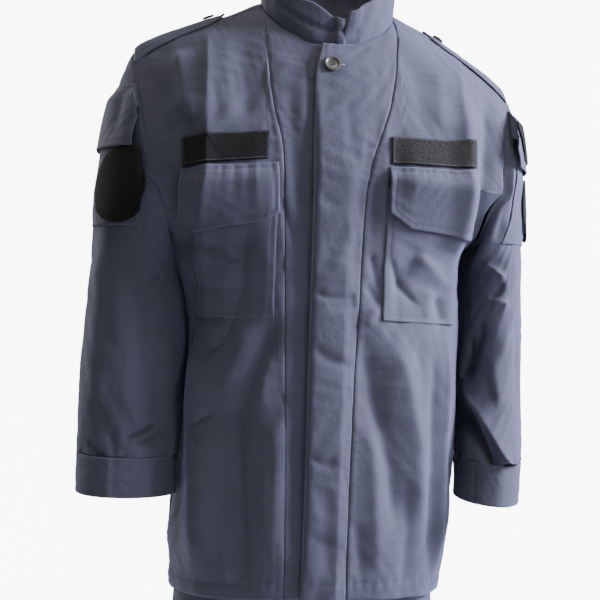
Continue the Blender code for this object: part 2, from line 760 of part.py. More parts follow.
def make():
    for old in list(bpy.data.objects):
        bpy.data.objects.remove(old)
    home = bpy.data.collections.new("uniform")
    bpy.context.scene.collection.children.link(home)
    blue = material("cloth_blue", (0.060, 0.068, 0.105), 0.85)
    loop_dark = material("loop_dark", (0.012, 0.012, 0.013), 0.95)
    loop_grey = material("loop_grey", (0.060, 0.064, 0.058), 0.95)
    button = material("button", (0.150, 0.160, 0.140), 0.45)

    sleeves = {left: Sleeve(left) for left in (True, False)}
    torso_panels(blue, sleeves)
    for left in (True, False):
        sleeve_and_cuff(sleeves[left], blue)
    collar(blue)
    strap("epaulette_left", True, blue, button)
    strap("epaulette_right", False, blue, button)

    def puff(u, v):
        across = math.sin(math.pi * min(1, max(0, u))) ** 0.7
        return LIE + 0.0007 * v + 0.0040 * across * smooth(v * 3) * (1 - 0.45 * v)

    def flap_lie(u, v):
        edge = min(u, 1 - u)
        return LIE - 0.0008 * v**6 + (0.0080 - 0.001 * (0.5 - edge)) * smooth((1 - v) * 3.5)

    def chamfer_in(u):
        return 0.017 * smooth((0.24 - u) / 0.24)

    def chamfer_both(u):
        return 0.013 * smooth((0.2 - u) / 0.2) + 0.010 * smooth((u - 0.84) / 0.16)

    on_front(
        "chest_pocket_left",
        [(0.062, -0.391), (0.163, -0.394), (0.167, -0.240), (0.062, -0.236)],
        9, 8, puff, WALL, blue,
    )
    on_front(
        "chest_pocket_right",
        [(-0.147, -0.396), (-0.066, -0.392), (-0.066, -0.236), (-0.163, -0.247)],
        9, 8, lambda u, v: puff(u, v) + 0.0008, WALL, blue,
    )
    on_front(
        "chest_flap_left",
        [(0.064, -0.282), (0.176, -0.285), (0.174, -0.2100), (0.0645, -0.2103)],
        8, 4, flap_lie, WALL, blue, chamfer_in,
    )
    on_front(
        "chest_flap_right",
        [(-0.175, -0.293), (-0.063, -0.281), (-0.0665, -0.2130), (-0.1775, -0.2250)],
        8, 4, flap_lie, WALL, blue, chamfer_both,
    )

    def flat(_u, _v):
        return LIE

    on_front(
        "name_strip_left",
        [(0.067, -0.2065), (0.172, -0.2065), (0.173, -0.1725), (0.067, -0.1740)],
        8, 2, flat, 0.0016, loop_grey,
    )
    on_front(
        "name_strip_right",
        [(-0.174, -0.2215), (-0.0785, -0.2095), (-0.0785, -0.1760), (-0.177, -0.1880)],
        8, 2, flat, 0.0016, loop_dark,
    )

    for left in (True, False):
        word = "left" if left else "right"
        sleeve = sleeves[left]
        on_sleeve(
            "sleeve_pocket_" + word, sleeve, 0.21, 0.60, -0.290, -0.147, 9, 7,
            lambda u, v: LIE + 0.0008 + 0.0016 * math.sin(math.pi * min(1, max(0, u))) ** 0.5 * smooth(v * 4),
            WALL, blue, slant=0.15,
        )

        def shut(u, v):
            return LIE + 0.0075 * smooth((1 - v) * 4)

        on_sleeve(
            "sleeve_flap_" + word, sleeve, 0.285, 0.605, -0.197, -0.118, 8, 5, shut, WALL, blue, slant=0.045,
        )

    def on_pocket(_u, _v):
        return LIE * 2 + WALL + 0.0021

    on_sleeve(
        "sleeve_patch_right", sleeves[False], 0.190, 0.435, -0.287, -0.195, 8, 8, on_pocket, 0.0013, loop_dark,
        disc=True,
    )
    on_sleeve(
        "sleeve_patch_left", sleeves[True], 0.34, 0.55, -0.284, -0.204, 8, 6, on_pocket, 0.0013, loop_dark,
        disc=True,
    )
    on_sleeve(
        "flap_patch_left", sleeves[True], 0.35, 0.55, -0.185, -0.138, 6, 3,
        lambda u, v: LIE * 2 + WALL + 0.0079, 0.0013, loop_dark,
    )

    theta, row = front_theta(-0.004, -0.092)
    place, out = body(theta, row, fly_lift(theta, row))
    disc("button_front", place + out * 0.0006, out, BUTTON_D, BUTTON_T, button)
    trousers(blue)


make()
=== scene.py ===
"""Looks of the field uniform: cloth with its folds and seams, stitching, loop tape and buttons.

Metres, in the part's own frame. The cloth repeats the part's surfaces on finer grids, and the
folds were placed one by one.
"""

import math

import bmesh
import bpy
import numpy as np
from mathutils import Matrix, Vector


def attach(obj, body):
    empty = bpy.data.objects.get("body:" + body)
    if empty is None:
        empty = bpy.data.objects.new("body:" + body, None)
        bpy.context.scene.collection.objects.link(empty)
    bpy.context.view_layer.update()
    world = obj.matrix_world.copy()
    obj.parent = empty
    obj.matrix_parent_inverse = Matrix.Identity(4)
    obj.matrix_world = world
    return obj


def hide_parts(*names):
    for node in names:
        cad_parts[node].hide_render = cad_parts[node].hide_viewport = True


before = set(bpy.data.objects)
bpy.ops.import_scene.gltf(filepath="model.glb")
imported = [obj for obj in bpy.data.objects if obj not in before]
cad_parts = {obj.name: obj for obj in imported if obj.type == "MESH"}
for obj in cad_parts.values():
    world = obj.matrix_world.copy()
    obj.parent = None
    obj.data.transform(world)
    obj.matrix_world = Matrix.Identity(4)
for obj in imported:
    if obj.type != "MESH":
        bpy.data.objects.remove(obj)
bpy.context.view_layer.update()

MM = 0.001
# a full turn, near enough for ripples
TURN = 6.283

CHEST_Z = -0.230
HEM_FRONT_Z = -0.712
HEM_SIDE_DROP = 0.017
SHOULDER_SEAM_Y = -0.020
NECK_HALF = 0.084
NECK_FRONT = 0.058
NECK_BACK = 0.084
FRONT_ROUND = 1.6
BACK_ROUND = 3.2
FLY_LIFT = 0.0056
# z, half width on the wearer's left and right, depth of the front and the back, roundness
TORSO = [
    (-0.770, 0.161, 0.167, 0.149, 0.136, 2.3),
    (-0.700, 0.172, 0.173, 0.148, 0.134, 2.3),
    (-0.650, 0.180, 0.175, 0.146, 0.129, 2.3),
    (-0.560, 0.184, 0.166, 0.141, 0.114, 2.3),
    (-0.500, 0.185, 0.162, 0.137, 0.104, 2.3),
    (-0.455, 0.185, 0.160, 0.134, 0.098, 2.3),
    (-0.396, 0.186, 0.162, 0.132, 0.097, 2.3),
    (-0.330, 0.184, 0.1785, 0.130, 0.100, 2.3),
    (-0.305, 0.188, 0.187, 0.129, 0.102, 2.3),
    (-0.288, 0.204, 0.202, 0.128, 0.104, 2.35),
    (-0.258, 0.232, 0.230, 0.126, 0.107, 2.45),
    (-0.230, 0.262, 0.262, 0.125, 0.108, 2.5),
]
# distance from the middle, height of the shoulder's ridge
RIDGE = [
    (0.000, 0.019),
    (0.050, 0.013),
    (0.084, 0.003),
    (0.130, -0.018),
    (0.190, -0.043),
    (0.225, -0.060),
    (0.245, -0.076),
    (0.262, -0.098),
]
# row, long seam left and right, fly edge, edge under the fly, mid line left and right
LINES = [
    (-1.000, 0.026, -0.045, -0.027, 0.012, 0.118, -0.112),
    (-0.716, 0.027, -0.047, -0.025, 0.012, 0.128, -0.118),
    (-0.409, 0.031, -0.052, -0.025, 0.013, 0.140, -0.132),
    (-0.300, 0.033, -0.054, -0.025, 0.013, 0.146, -0.146),
    (-0.120, 0.035, -0.057, -0.025, 0.013, 0.150, -0.149),
    (0.000, 0.039, -0.059, -0.025, 0.013, 0.150, -0.149),
    (0.250, 0.048, -0.063, -0.026, 0.013, 0.150, -0.149),
    (0.500, 0.068, -0.076, -0.026, 0.012, 0.151, -0.149),
    (0.750, 0.081, -0.081, -0.024, 0.010, 0.152, -0.149),
    (1.000, 0.084, -0.084, -0.014, 0.013, 0.152, -0.149),
]
# row above the chest line, the armhole's distance from the middle, in front and behind
ARMHOLE = [
    (0.00, 0.218, 0.214),
    (0.25, 0.222, 0.219),
    (0.50, 0.230, 0.228),
    (0.75, 0.237, 0.237),
    (1.00, 0.240, 0.240),
]
# z, middle x and y, half width across and half depth of a sleeve
SLEEVE_LEFT = [
    (-0.330, 0.2325, 0.018, 0.0410, 0.078),
    (-0.400, 0.2335, 0.015, 0.0430, 0.076),
    (-0.490, 0.2320, 0.000, 0.0430, 0.071),
    (-0.562, 0.2260, -0.035, 0.0385, 0.067),
    (-0.612, 0.2160, -0.066, 0.0370, 0.061),
]
SLEEVE_RIGHT = [
    (-0.330, -0.2318, 0.010, 0.0500, 0.074),
    (-0.400, -0.2265, 0.002, 0.0600, 0.068),
    (-0.490, -0.2290, -0.012, 0.0610, 0.063),
    (-0.562, -0.2305, -0.030, 0.0575, 0.053),
    (-0.612, -0.2300, -0.043, 0.0565, 0.046),
]
# z, half width, depth of the front and the back of the trousers above the fork
HIPS = [
    (-0.760, 0.160, 0.112, 0.118),
    (-0.700, 0.158, 0.116, 0.126),
    (-0.640, 0.155, 0.115, 0.1240),
    (-0.620, 0.153, 0.114, 0.1185),
    (-0.540, 0.145, 0.106, 0.097),
    (-0.470, 0.140, 0.098, 0.085),
    (-0.420, 0.140, 0.098, 0.085),
]
# z, middle x and y, half width and half depth of a leg
LEG = [
    (-0.560, 0.080, 0.000, 0.076, 0.110),
    (-0.742, 0.0835, 0.002, 0.0815, 0.104),
    (-0.850, 0.0870, 0.004, 0.0790, 0.092),
    (-1.000, 0.0930, 0.006, 0.0750, 0.080),
    (-1.150, 0.0960, 0.008, 0.0700, 0.074),
    (-1.300, 0.0990, 0.006, 0.0660, 0.072),
    (-1.430, 0.1010, 0.004, 0.0640, 0.072),
]

BICEP_Z = -0.330
CUFF_Z = -0.563
CUFF_END_Z = -0.609
CAP_SPRING = 0.62
CAP_BULGE = 0.50
LEFT_DROP = 0.020
COLLAR_HEIGHT = 0.047
COLLAR_SUNK = 0.004
WAIST_Z = -0.470
BAND_H = 0.042
FORK_TOP_Z = -0.600
FORK_Z = -0.742
ANKLE_Z = -1.430
ARMHOLE_START = -0.12
# step in an angle, share or height, to find which way a surface faces
SMALL_STEP = 0.004
HIP_ROUND = 2.4


def smooth(t):
    t = np.clip(t, 0.0, 1.0)
    return t * t * (3 - 2 * t)


def power(value, exponent):
    """A power of the value's size, with its sign."""
    return np.copysign(np.abs(value) ** exponent, value)


def curve(t, a, into, b, away):
    """A smooth curve from a to b, with its direction at both ends."""
    return (
        (2 * t**3 - 3 * t**2 + 1) * a
        + (t**3 - 2 * t**2 + t) * into
        + (3 * t**2 - 2 * t**3) * b
        + (t**3 - t**2) * away
    )


def table_at(table, key):
    """The table's other columns at keys in its first column, along a smooth curve."""
    rows = np.array(sorted(table), float)
    first = rows[:, 0]
    key = np.clip(np.asarray(key, float), first[0], first[-1])
    i = np.clip(np.searchsorted(first, key, side="right") - 1, 0, len(first) - 2)
    a, b = rows[i], rows[i + 1]
    before = rows[np.maximum(i - 1, 0)]
    after = rows[np.minimum(i + 2, len(first) - 1)]
    step = b[..., :1] - a[..., :1]
    t = (key[..., None] - a[..., :1]) / step
    into = (b - before) / (b[..., :1] - before[..., :1]) * step
    away = (after - a) / (after[..., :1] - a[..., :1]) * step
    return np.moveaxis(curve(t, a, into, b, away)[..., 1:], -1, 0)


def ridge_z(x):
    """Height of the shoulder's ridge at a distance from the middle, positive on the wearer's left."""
    return table_at(RIDGE, np.abs(x))[0] - LEFT_DROP * smooth((x - 0.10) / 0.16)


def hem_z(theta):
    """Height of the hem, which is lowest at the back."""
    return HEM_FRONT_Z - HEM_SIDE_DROP * (1 - np.sin(theta)) ** 0.8


def top_end(theta):
    """The angle over the shoulder at which a panel ends: its seam or its neckline."""
    a0, _, bf, bb, n = table_at(TORSO, CHEST_Z)
    x = np.abs(a0 * np.abs(np.cos(theta)) ** (2 / n))
    across = np.sqrt(np.maximum(0.0, 1 - (x / NECK_HALF) ** 2))
    front = np.maximum(bf * np.abs(np.sin(theta)) ** (2 / n), 1e-9)
    back = np.maximum(bb * np.abs(np.sin(theta)) ** (2 / n), 1e-9)
    edge = -SHOULDER_SEAM_Y + np.where(x < NECK_HALF, NECK_FRONT * across, 0.0)
    # near the armhole the shoulder's seam runs back a little
    edge = np.where(x > 0.2, -SHOULDER_SEAM_Y - 0.008 * smooth((x - 0.2) / 0.04), edge)
    to_seam = np.arccos(np.minimum(1.0, edge / front) ** (FRONT_ROUND / 2))
    low = SHOULDER_SEAM_Y + NECK_BACK * across**1.15
    near = np.where(x < NECK_HALF, -low, edge)
    over = math.pi - np.arccos(np.clip(near / front, 0.0, 1.0) ** (FRONT_ROUND / 2))
    behind = np.arccos(np.clip(low / back, 0.0, 1.0) ** (BACK_ROUND / 2))
    rear = np.where((x >= NECK_HALF) | (low <= 0), over, behind)
    return np.where(theta > 0, to_seam, rear)


def body_plain(theta, row):
    """Points of the coat's body; theta is 0 left, pi/2 front, pi right, -pi/2 back."""
    theta, row = np.broadcast_arrays(np.asarray(theta, float), np.asarray(row, float))
    c, s = np.cos(theta), np.sin(theta)
    z = CHEST_Z + np.minimum(row, 0.0) * (CHEST_Z - hem_z(theta))
    left, right, front, back, n = table_at(TORSO, z)
    x = np.where(c > 0, left, right) * power(c, 2 / n)
    y = -np.where(s > 0, front, back) * power(s, 2 / n)
    over = np.maximum(row, 0.0) * top_end(theta)
    ridge = ridge_z(x)
    behind = (s < 0) & (over < math.pi / 2)
    depth = np.where(behind, back, front) * np.abs(s) ** (2 / n)
    bend = np.where(behind, BACK_ROUND, FRONT_ROUND)
    lean = np.abs(np.cos(over)) ** (2 / bend)
    rise = np.abs(np.sin(over)) ** (2 / bend)
    up = row > 0
    # past the top of the shoulder the depth turns to the front's side
    y = np.where(up, np.where(behind, depth * lean, -depth * lean), y)
    z = np.where(up, CHEST_Z + (ridge - CHEST_Z) * rise, z)
    return np.stack([x, y, z], -1)


def unit(v):
    return v / np.maximum(np.linalg.norm(v, axis=-1, keepdims=True), 1e-12)


def body(theta, row):
    """Points of the body and the way out of the cloth there."""
    e = SMALL_STEP
    p = body_plain(theta, row)
    out = np.cross(
        body_plain(theta + e, row) - body_plain(theta - e, row),
        body_plain(theta, row + e) - body_plain(theta, row - e),
    )
    out = unit(out)
    up = np.where(row > 0, np.maximum(0.0, p[..., 2] + 0.35), 0.0)
    middle = np.stack([p[..., 0], p[..., 1], up + 0 * p[..., 0]], -1)
    out = np.where((out * middle).sum(-1, keepdims=True) < 0, -out, out)
    return p, out


def theta_at(x, row, front=True):
    """The angle at which a row crosses a distance x from the middle."""
    x, row = np.broadcast_arrays(np.asarray(x, float), np.asarray(row, float))
    theta = np.full(x.shape, math.pi / 2)
    for _ in range(3):
        down = row * (CHEST_Z - hem_z(theta if front else -theta))
        left, right, _, _, n = table_at(TORSO, CHEST_Z + np.minimum(down, 0.0))
        share = np.minimum(1.0, np.abs(x) / np.where(x > 0, left, right))
        theta = np.arccos(np.copysign(share ** (n / 2), x))
    return theta if front else -theta


def side_theta(row, left, front=True):
    """The angle of the side seam, or above the armpit of the armhole's edge."""
    row = np.asarray(row, float)
    a0, _, _, _, n = table_at(TORSO, CHEST_Z)
    column = 0 if front else 1
    above = np.arccos((table_at(ARMHOLE, np.maximum(row, 0.0))[column] / a0) ** (n / 2))
    start = math.acos((ARMHOLE[0][1 + column] / a0) ** (n / 2))
    share = np.clip(row / ARMHOLE_START, 0.0, 1.0)
    below = start * np.sqrt(np.maximum(0.0, 1 - share**2))
    t = np.where(row >= 0, above, below)
    t = t if left else math.pi - t
    return t if front else -t


def line(row, name, front=True):
    """The angle of a seam, or of a station between seams, at each row."""
    names = ["seam_left", "seam_right", "fly", "under", "mid_left", "mid_right"]
    return theta_at(table_at(LINES, row)[names.index(name)], row, front)


def front_theta(x, z):
    """The angle and row of points of the front, given by their distance and height."""
    x, z = np.broadcast_arrays(np.asarray(x, float), np.asarray(z, float))
    low, high = np.full(x.shape, -1.0), np.full(x.shape, 1.0)
    for _ in range(24):
        row = (low + high) / 2
        theta = theta_at(x, row)
        under = body_plain(theta, row)[..., 2] < z
        low, high = np.where(under, row, low), np.where(under, high, row)
    return theta_at(x, row), row


class Sleeve:
    """A sleeve's surface: share goes round from the underarm seam by way of the front."""

    def __init__(self, left):
        self.out = 1 if left else -1
        self.sections = SLEEVE_LEFT if left else SLEEVE_RIGHT
        up = np.linspace(ARMHOLE_START, 1.0, 90)
        front = body(side_theta(up, left), up)[0]
        back = body(side_theta(up[:-1], left, False), up[:-1])[0][::-1]
        self.points = np.concatenate([front, back])
        far = np.concatenate([[0.0], np.linalg.norm(np.diff(self.points, axis=0), axis=1).cumsum()])
        self.shares = far / far[-1]

    def ring(self, share, z):
        cx, cy, rx, ry = table_at(self.sections, z)
        a = 2 * math.pi * share
        return np.stack([cx - self.out * rx * np.cos(a), cy - ry * np.sin(a), z + 0 * a], -1)

    def at(self, share, t):
        """Points; t runs 0 to 1 over the cap and 1 to 2 down to the cuff's end."""
        share, t = np.broadcast_arrays(np.asarray(share, float), np.asarray(t, float))
        low = self.ring(share, BICEP_Z + np.maximum(t - 1, 0.0) * (CUFF_END_Z - BICEP_Z))
        inside = np.clip(share, 0.0, 1.0)
        start = np.stack([np.interp(inside, self.shares, self.points[:, k]) for k in range(3)], -1)
        end = self.ring(share, np.full(share.shape, BICEP_Z))
        reach = np.linalg.norm(end - start, axis=-1, keepdims=True)
        top = np.sin(math.pi * inside)[..., None] ** 2
        way = unit(unit(end - start) + top * np.array([self.out * CAP_BULGE, 0.0, 0.0]))
        into = way * reach * CAP_SPRING
        away = np.array([0.0, 0.0, -1.0]) * reach * CAP_SPRING
        t = np.clip(t, 0.0, 1.0)[..., None]
        return np.where(t < 1, curve(t, start, into, end, away), low)

    def out_of(self, share, t):
        e = SMALL_STEP
        p = self.at(share, t)
        lo, hi = np.maximum(0.0, share - e), np.minimum(1.0, share + e)
        way = np.cross(
            self.at(hi, t) - self.at(lo, t),
            self.at(share, t + e) - self.at(share, np.maximum(0.0, t - e)),
        )
        cx, cy, _, _ = table_at(self.sections, p[..., 2])
        middle = np.stack([cx - self.out * 0.02, cy, p[..., 2] - 0.03], -1)
        way = unit(way)
        return np.where(((p - middle) * way).sum(-1, keepdims=True) < 0, -way, way)

    def t_of(self, z):
        return 1 + (z - BICEP_Z) / (CUFF_END_Z - BICEP_Z)

    def t_at(self, share, z):
        """The t at which a share of the sleeve reaches a height."""
        share, z = np.broadcast_arrays(np.asarray(share, float), np.asarray(z, float))
        low, high = np.zeros(share.shape), np.full(share.shape, 2.0)
        for _ in range(26):
            t = (low + high) / 2
            above = self.at(share, t)[..., 2] > z
            low, high = np.where(above, t, low), np.where(above, high, t)
        return t


CLOTH = 0.0010
BAND_CLOTH = 0.0013
STRAP_CLOTH = 0.0016
TAPE = 0.0016
PATCH = 0.0013
STITCH = 0.0027
STITCH_FACES = ((4, 5, 7, 6), (0, 1, 5, 4), (2, 6, 7, 3), (0, 4, 6, 2), (1, 3, 7, 5))

# Folds of the front, in millimetres: points (x, z), half width on the first and second side,
# height, how sharp (1) or soft (0). The first side is on the viewer's left of a fold listed
# downwards, and below one listed to the right.
FRONT_FOLDS = [
    # the chest stands out over the pockets, which hang back below it
    ([(-175, -236), (-70, -226)], 40, 40, 3.4, 0),
    ([(-165, -360), (-70, -356)], 45, 40, -4.2, 0),
    ([(70, -226), (180, -234)], 40, 36, 4.6, 0),
    ([(66, -344), (165, -352)], 50, 36, -7.4, 0),
    ([(-160, -470), (-60, -460)], 50, 50, 2.4, 0),
    ([(60, -460), (160, -470)], 50, 50, 2.6, 0),
    # pressed crease on the wearer's right, and the drape beside it
    ([(-149, -30), (-148.5, -176), (-146, -330)], 18, 30, 5.2, 1),
    ([(-146, -300), (-140, -400)], 14, 30, 3.6, 1),
    ([(-186, -70), (-180, -115), (-174, -147), (-155, -176)], 10, 26, 5.2, 0),
    ([(-215, -90), (-207, -150), (-193, -200)], 12, 16, -2.2, 0),
    ([(-195, -215), (-178, -262), (-160, -330)], 12, 10, -2.6, 0),
    ([(-106.5, -60), (-104, -127), (-105, -174)], 16, 18, -2, 0),
    ([(-126, -55), (-128, -170)], 12, 12, 1.6, 0),
    ([(-35, -85), (-37, -130), (-40, -180)], 10, 10, 2, 0),
    ([(-56, -110), (-50, -185), (-46, -240)], 7, 8, -1.4, 0),
    ([(-64, -250), (-53, -286), (-48, -304)], 4, 9, -2, 1),
    ([(-47, -235), (-33, -269)], 5, 7, -1.4, 0),
    ([(-141, -306), (-127, -316), (-109, -330)], 7, 4, -2.6, 1),
    ([(-101, -286), (-104, -333), (-107.5, -373), (-112, -394)], 9, 11, -4.6, 0),
    ([(-112, -394), (-119, -422), (-131.6, -438), (-142.5, -447)], 10, 5, -4.2, 1),
    ([(-128, -400), (-131, -430)], 8, 10, 3, 0),
    ([(-62, -385), (-81.5, -446), (-98, -500)], 12, 10, -6.2, 0),
    ([(-94, -400), (-108, -450), (-116, -500)], 12, 14, 3, 0),
    ([(-68, -430), (-76, -470), (-81, -505)], 10, 10, 2.4, 0),
    ([(-142, -415), (-144, -516), (-141, -608), (-138, -712)], 14, 26, 11.2, 0),
    ([(-127, -506), (-144.3, -526)], 4, 7, -3.4, 1),
    ([(-144.2, -526), (-137, -544)], 4, 6, -2.8, 1),
    ([(-57, -477), (-42, -499)], 4, 6, -1.8, 1),
    ([(-106, -455), (-102, -568), (-96, -640), (-92, -700)], 20, 14, -8.6, 0),
    ([(-58, -500), (-56, -576), (-58, -680)], 12, 12, 3.6, 0),
    ([(-112, -620), (-106, -700)], 7, 8, 2.2, 0),
    ([(-72, -560), (-68, -660)], 8, 8, 1.8, 0),
    ([(-160, -400), (-162, -500), (-165, -600), (-166, -700)], 7, 8, -2.6, 0),
    # the cloth draws in under the free edge of the fly
    ([(-27.5, -105), (-27.5, -300), (-27.5, -712)], 17, 3, -6.2, 0),
    # the fly and the neck
    ([(16, -84), (26, -74), (44, -63)], 6, 4, -1.8, 1),
    ([(-24, -357), (-7.5, -366), (14.4, -367.5), (30, -364.6)], 5, 7, -2.2, 1),
    ([(-8, -378), (30, -374)], 5, 5, -1.4, 0),
    ([(-22, -420), (-5, -436), (28, -449)], 7, 6, -2, 0),
    ([(-23, -546), (-8, -557), (12, -557)], 5, 5, -2, 1),
    ([(-20, -250), (4, -262)], 6, 6, -1, 0),
    ([(12, -130), (22, -220)], 6, 7, -1, 0),
    ([(-2, -580), (4, -690)], 8, 8, -1.4, 0),
    ([(-20, -640), (22, -655)], 5, 6, -1, 0),
    # the wearer's left
    ([(167, -60), (161, -121), (160.5, -180)], 16, 22, 3, 1),
    ([(170, -110), (166, -180), (160, -260), (150, -330)], 14, 18, 5, 0),
    ([(205, -100), (198, -170), (188, -240), (178, -310)], 14, 16, -7.4, 0),
    ([(90, -60), (104, -110), (110, -165)], 14, 18, -1.4, 0),
    ([(132, -75), (130, -165)], 12, 14, 1.4, 0),
    ([(56, -120), (60, -175), (58, -240)], 8, 8, 1.2, 0),
    ([(47, -230), (45, -300)], 6, 7, -1.4, 0),
    ([(44, -310), (58, -357)], 5, 7, -2.6, 1),
    ([(40, -347), (59.4, -375)], 5, 7, -2.2, 0),
    ([(42, -400), (55, -376)], 6, 6, 2, 0),
    ([(66.5, -312), (87, -350), (115, -374.5)], 14, 7, -4, 1),
    ([(100, -310), (128, -330), (156, -350)], 10, 8, 3.4, 0),
    ([(128, -350), (122, -388)], 7, 6, 1.6, 0),
    ([(100, -300), (94, -345)], 9, 10, -1.6, 0),
    ([(141, -360), (146, -392)], 6, 5, -2.6, 0),
    ([(37, -400), (54, -481), (79, -566), (92, -650)], 14, 16, -6.2, 0),
    ([(80, -405), (96, -472), (112, -535), (122, -640)], 15, 13, 4.6, 0),
    ([(110, -410), (117, -480)], 7, 8, -1.4, 0),
    ([(132.5, -420), (137, -509), (139, -605), (139, -712)], 10, 7, -5.2, 0),
    ([(152, -400), (153, -495), (151, -600), (149, -712)], 6, 10, 4.4, 1),
    ([(100, -570), (104, -640), (100, -705)], 10, 10, -2.6, 0),
    ([(52, -500), (58, -576), (64, -690)], 10, 12, 2.6, 0),
    ([(36, -620), (46, -690)], 7, 8, -2, 0),
]
BACK_FOLDS = [
    ([(60, -80), (40, -200), (30, -330)], 18, 22, 2.2, 0),
    ([(-52, -75), (-46, -210), (-24, -300)], 20, 18, 2, 0),
    ([(150, -120), (120, -230), (96, -330)], 14, 20, 3.4, 0),
    ([(-152, -110), (-128, -220), (-90, -350)], 20, 14, 3.4, 0),
    ([(178, -160), (150, -260), (132, -330)], 12, 12, -3, 0),
    ([(-180, -150), (-156, -250), (-134, -340)], 12, 12, -3, 0),
    ([(150, -400), (70, -440), (10, -452)], 6, 10, -3, 1),
    ([(-146, -386), (-84, -418), (-20, -424)], 6, 10, -2.8, 1),
    ([(100, -470), (40, -486)], 8, 8, 2.2, 0),
    ([(-120, -450), (-50, -474)], 8, 8, 2.2, 0),
    ([(120, -480), (108, -580), (104, -705)], 14, 14, -3.6, 0),
    ([(70, -500), (64, -600), (60, -705)], 12, 16, 3, 0),
    ([(16, -490), (12, -600), (18, -712)], 12, 12, -2.6, 0),
    ([(-44, -500), (-50, -590), (-46, -710)], 14, 12, 3.2, 0),
    ([(-98, -490), (-104, -600), (-100, -710)], 14, 14, -3.4, 0),
    ([(-140, -470), (-142, -590), (-138, -705)], 10, 10, 3.2, 0),
    ([(0, -110), (4, -240)], 12, 12, -1.2, 0),
]
# Folds of the sleeves: points (percent of the way round, z), and the rest as for the front
RIGHT_SLEEVE_FOLDS = [
    ([(19.5, -60), (15.5, -150), (13.8, -225), (12.8, -262), (10.5, -300)], 10, 9, 4.8, 0),
    ([(10, -295), (6, -330), (3, -380)], 10, 10, 2, 0),
    ([(40, -120), (37, -176)], 8, 8, -1.6, 0),
    ([(16, -130), (17.5, -185)], 6, 7, -1.6, 0),
    ([(40, -300), (36, -420), (37, -540)], 16, 18, 2.6, 0),
    ([(27, -300), (24, -400), (22, -500)], 16, 14, -2.2, 0),
    ([(14, -340), (23, -368)], 8, 10, -3, 0),
    ([(10, -400), (18, -418)], 6, 9, -2.6, 0),
    ([(12, -456), (20, -462)], 8, 8, 2, 0),
    ([(16, -522), (26.5, -544)], 5, 8, -4.4, 1),
    ([(12, -534), (23.5, -551)], 5, 7, -3.4, 1),
    ([(30, -530), (28.5, -565)], 5, 6, -1.6, 0),
    ([(38.5, -545), (33, -566)], 4, 6, -2.6, 1),
    ([(60, -330), (72, -372)], 10, 12, -3, 0),
    ([(62, -400), (76, -396)], 8, 12, -2.8, 1),
    ([(64, -430), (74, -452)], 8, 10, -2.6, 0),
    ([(56, -480), (60, -555)], 12, 12, 2.4, 0),
    ([(80, -430), (84, -540)], 12, 12, -2.4, 0),
    ([(70, -120), (78, -240)], 14, 14, -2.6, 0),
]
LEFT_SLEEVE_FOLDS = [
    ([(33, -90), (29, -160), (23.5, -215), (16.5, -275), (9.5, -330)], 13, 30, 7.2, 0),
    ([(23.5, -110), (20.5, -190), (13.5, -260), (6.5, -320)], 13, 14, -6, 0),
    ([(15, -312), (20, -322), (25.5, -336)], 8, 6, 4, 1),
    ([(24.5, -338), (21.5, -352), (18.5, -361)], 7, 6, -3.4, 0),
    ([(19, -361), (27, -366)], 9, 6, 4, 1),
    ([(16, -385), (12, -440), (9, -470)], 12, 8, -4, 0),
    ([(10.5, -405), (9.5, -435), (7, -466)], 5, 7, -4, 1),
    ([(6, -462), (15, -505), (23, -552), (33.5, -592)], 7, 26, 9, 1),
    ([(6, -492), (13, -528), (21.5, -580)], 14, 12, -8, 0),
    ([(20, -430), (23.5, -500)], 10, 12, 2, 0),
    ([(17, -460), (21.5, -490)], 5, 6, -2, 0),
    ([(33, -380), (35, -500)], 14, 14, -2, 0),
    ([(20.5, -230), (19, -290)], 6, 8, -2.2, 0),
    ([(60, -320), (74, -356)], 10, 12, -3, 0),
    ([(58, -386), (74, -392)], 8, 12, -3, 1),
    ([(62, -420), (76, -446)], 8, 10, -2.6, 0),
    ([(50, -440), (56, -550)], 12, 12, 2.4, 0),
    ([(84, -420), (88, -550)], 12, 12, -2.4, 0),
    ([(70, -110), (80, -240)], 14, 14, -2.6, 0),
]
# Folds of a leg: points (percent of the way from the middle or inner seam to the outer seam, z)
LEG_FRONT_FOLDS = [
    ([(50, -520), (47, -800)], 10, 10, 3, 1),
    ([(47, -800), (48, -1420)], 10, 10, 3.4, 1),
    ([(5, -760), (30, -800)], 8, 10, -3.4, 0),
    ([(8, -820), (28, -856)], 8, 10, -2.6, 0),
    ([(20, -1010), (46, -1028)], 9, 12, -3.4, 0),
    ([(56, -1042), (86, -1030)], 9, 12, -3, 0),
    ([(26, -1090), (44, -1076)], 10, 10, -2.4, 0),
    ([(24, -1330), (76, -1352)], 12, 14, -3.4, 0),
    ([(74, -900), (72, -1300)], 14, 14, -2.4, 0),
    ([(24, -900), (26, -1280)], 14, 14, 2.2, 0),
]
LEG_BACK_FOLDS = [
    ([(50, -560), (48, -1420)], 10, 10, 3, 1),
    ([(6, -770), (44, -800)], 8, 12, -3.6, 1),
    ([(10, -812), (36, -846)], 8, 10, -2.8, 0),
    ([(16, -1020), (84, -1036)], 9, 14, -4, 0),
    ([(22, -1064), (76, -1050)], 8, 12, -3.4, 0),
    ([(20, -1100), (60, -1118)], 10, 10, -2.6, 0),
    ([(24, -1350), (80, -1330)], 12, 14, -3.2, 0),
]
FLOOR_Z = -1.4302
FLOOR_RADIUS = 2.1
BACKDROP_RADIUS = 9.0
BACKDROP_GLOW = 9.0
WORLD = 0.13
WORLD_COLOUR = (1.0, 0.96, 0.90)
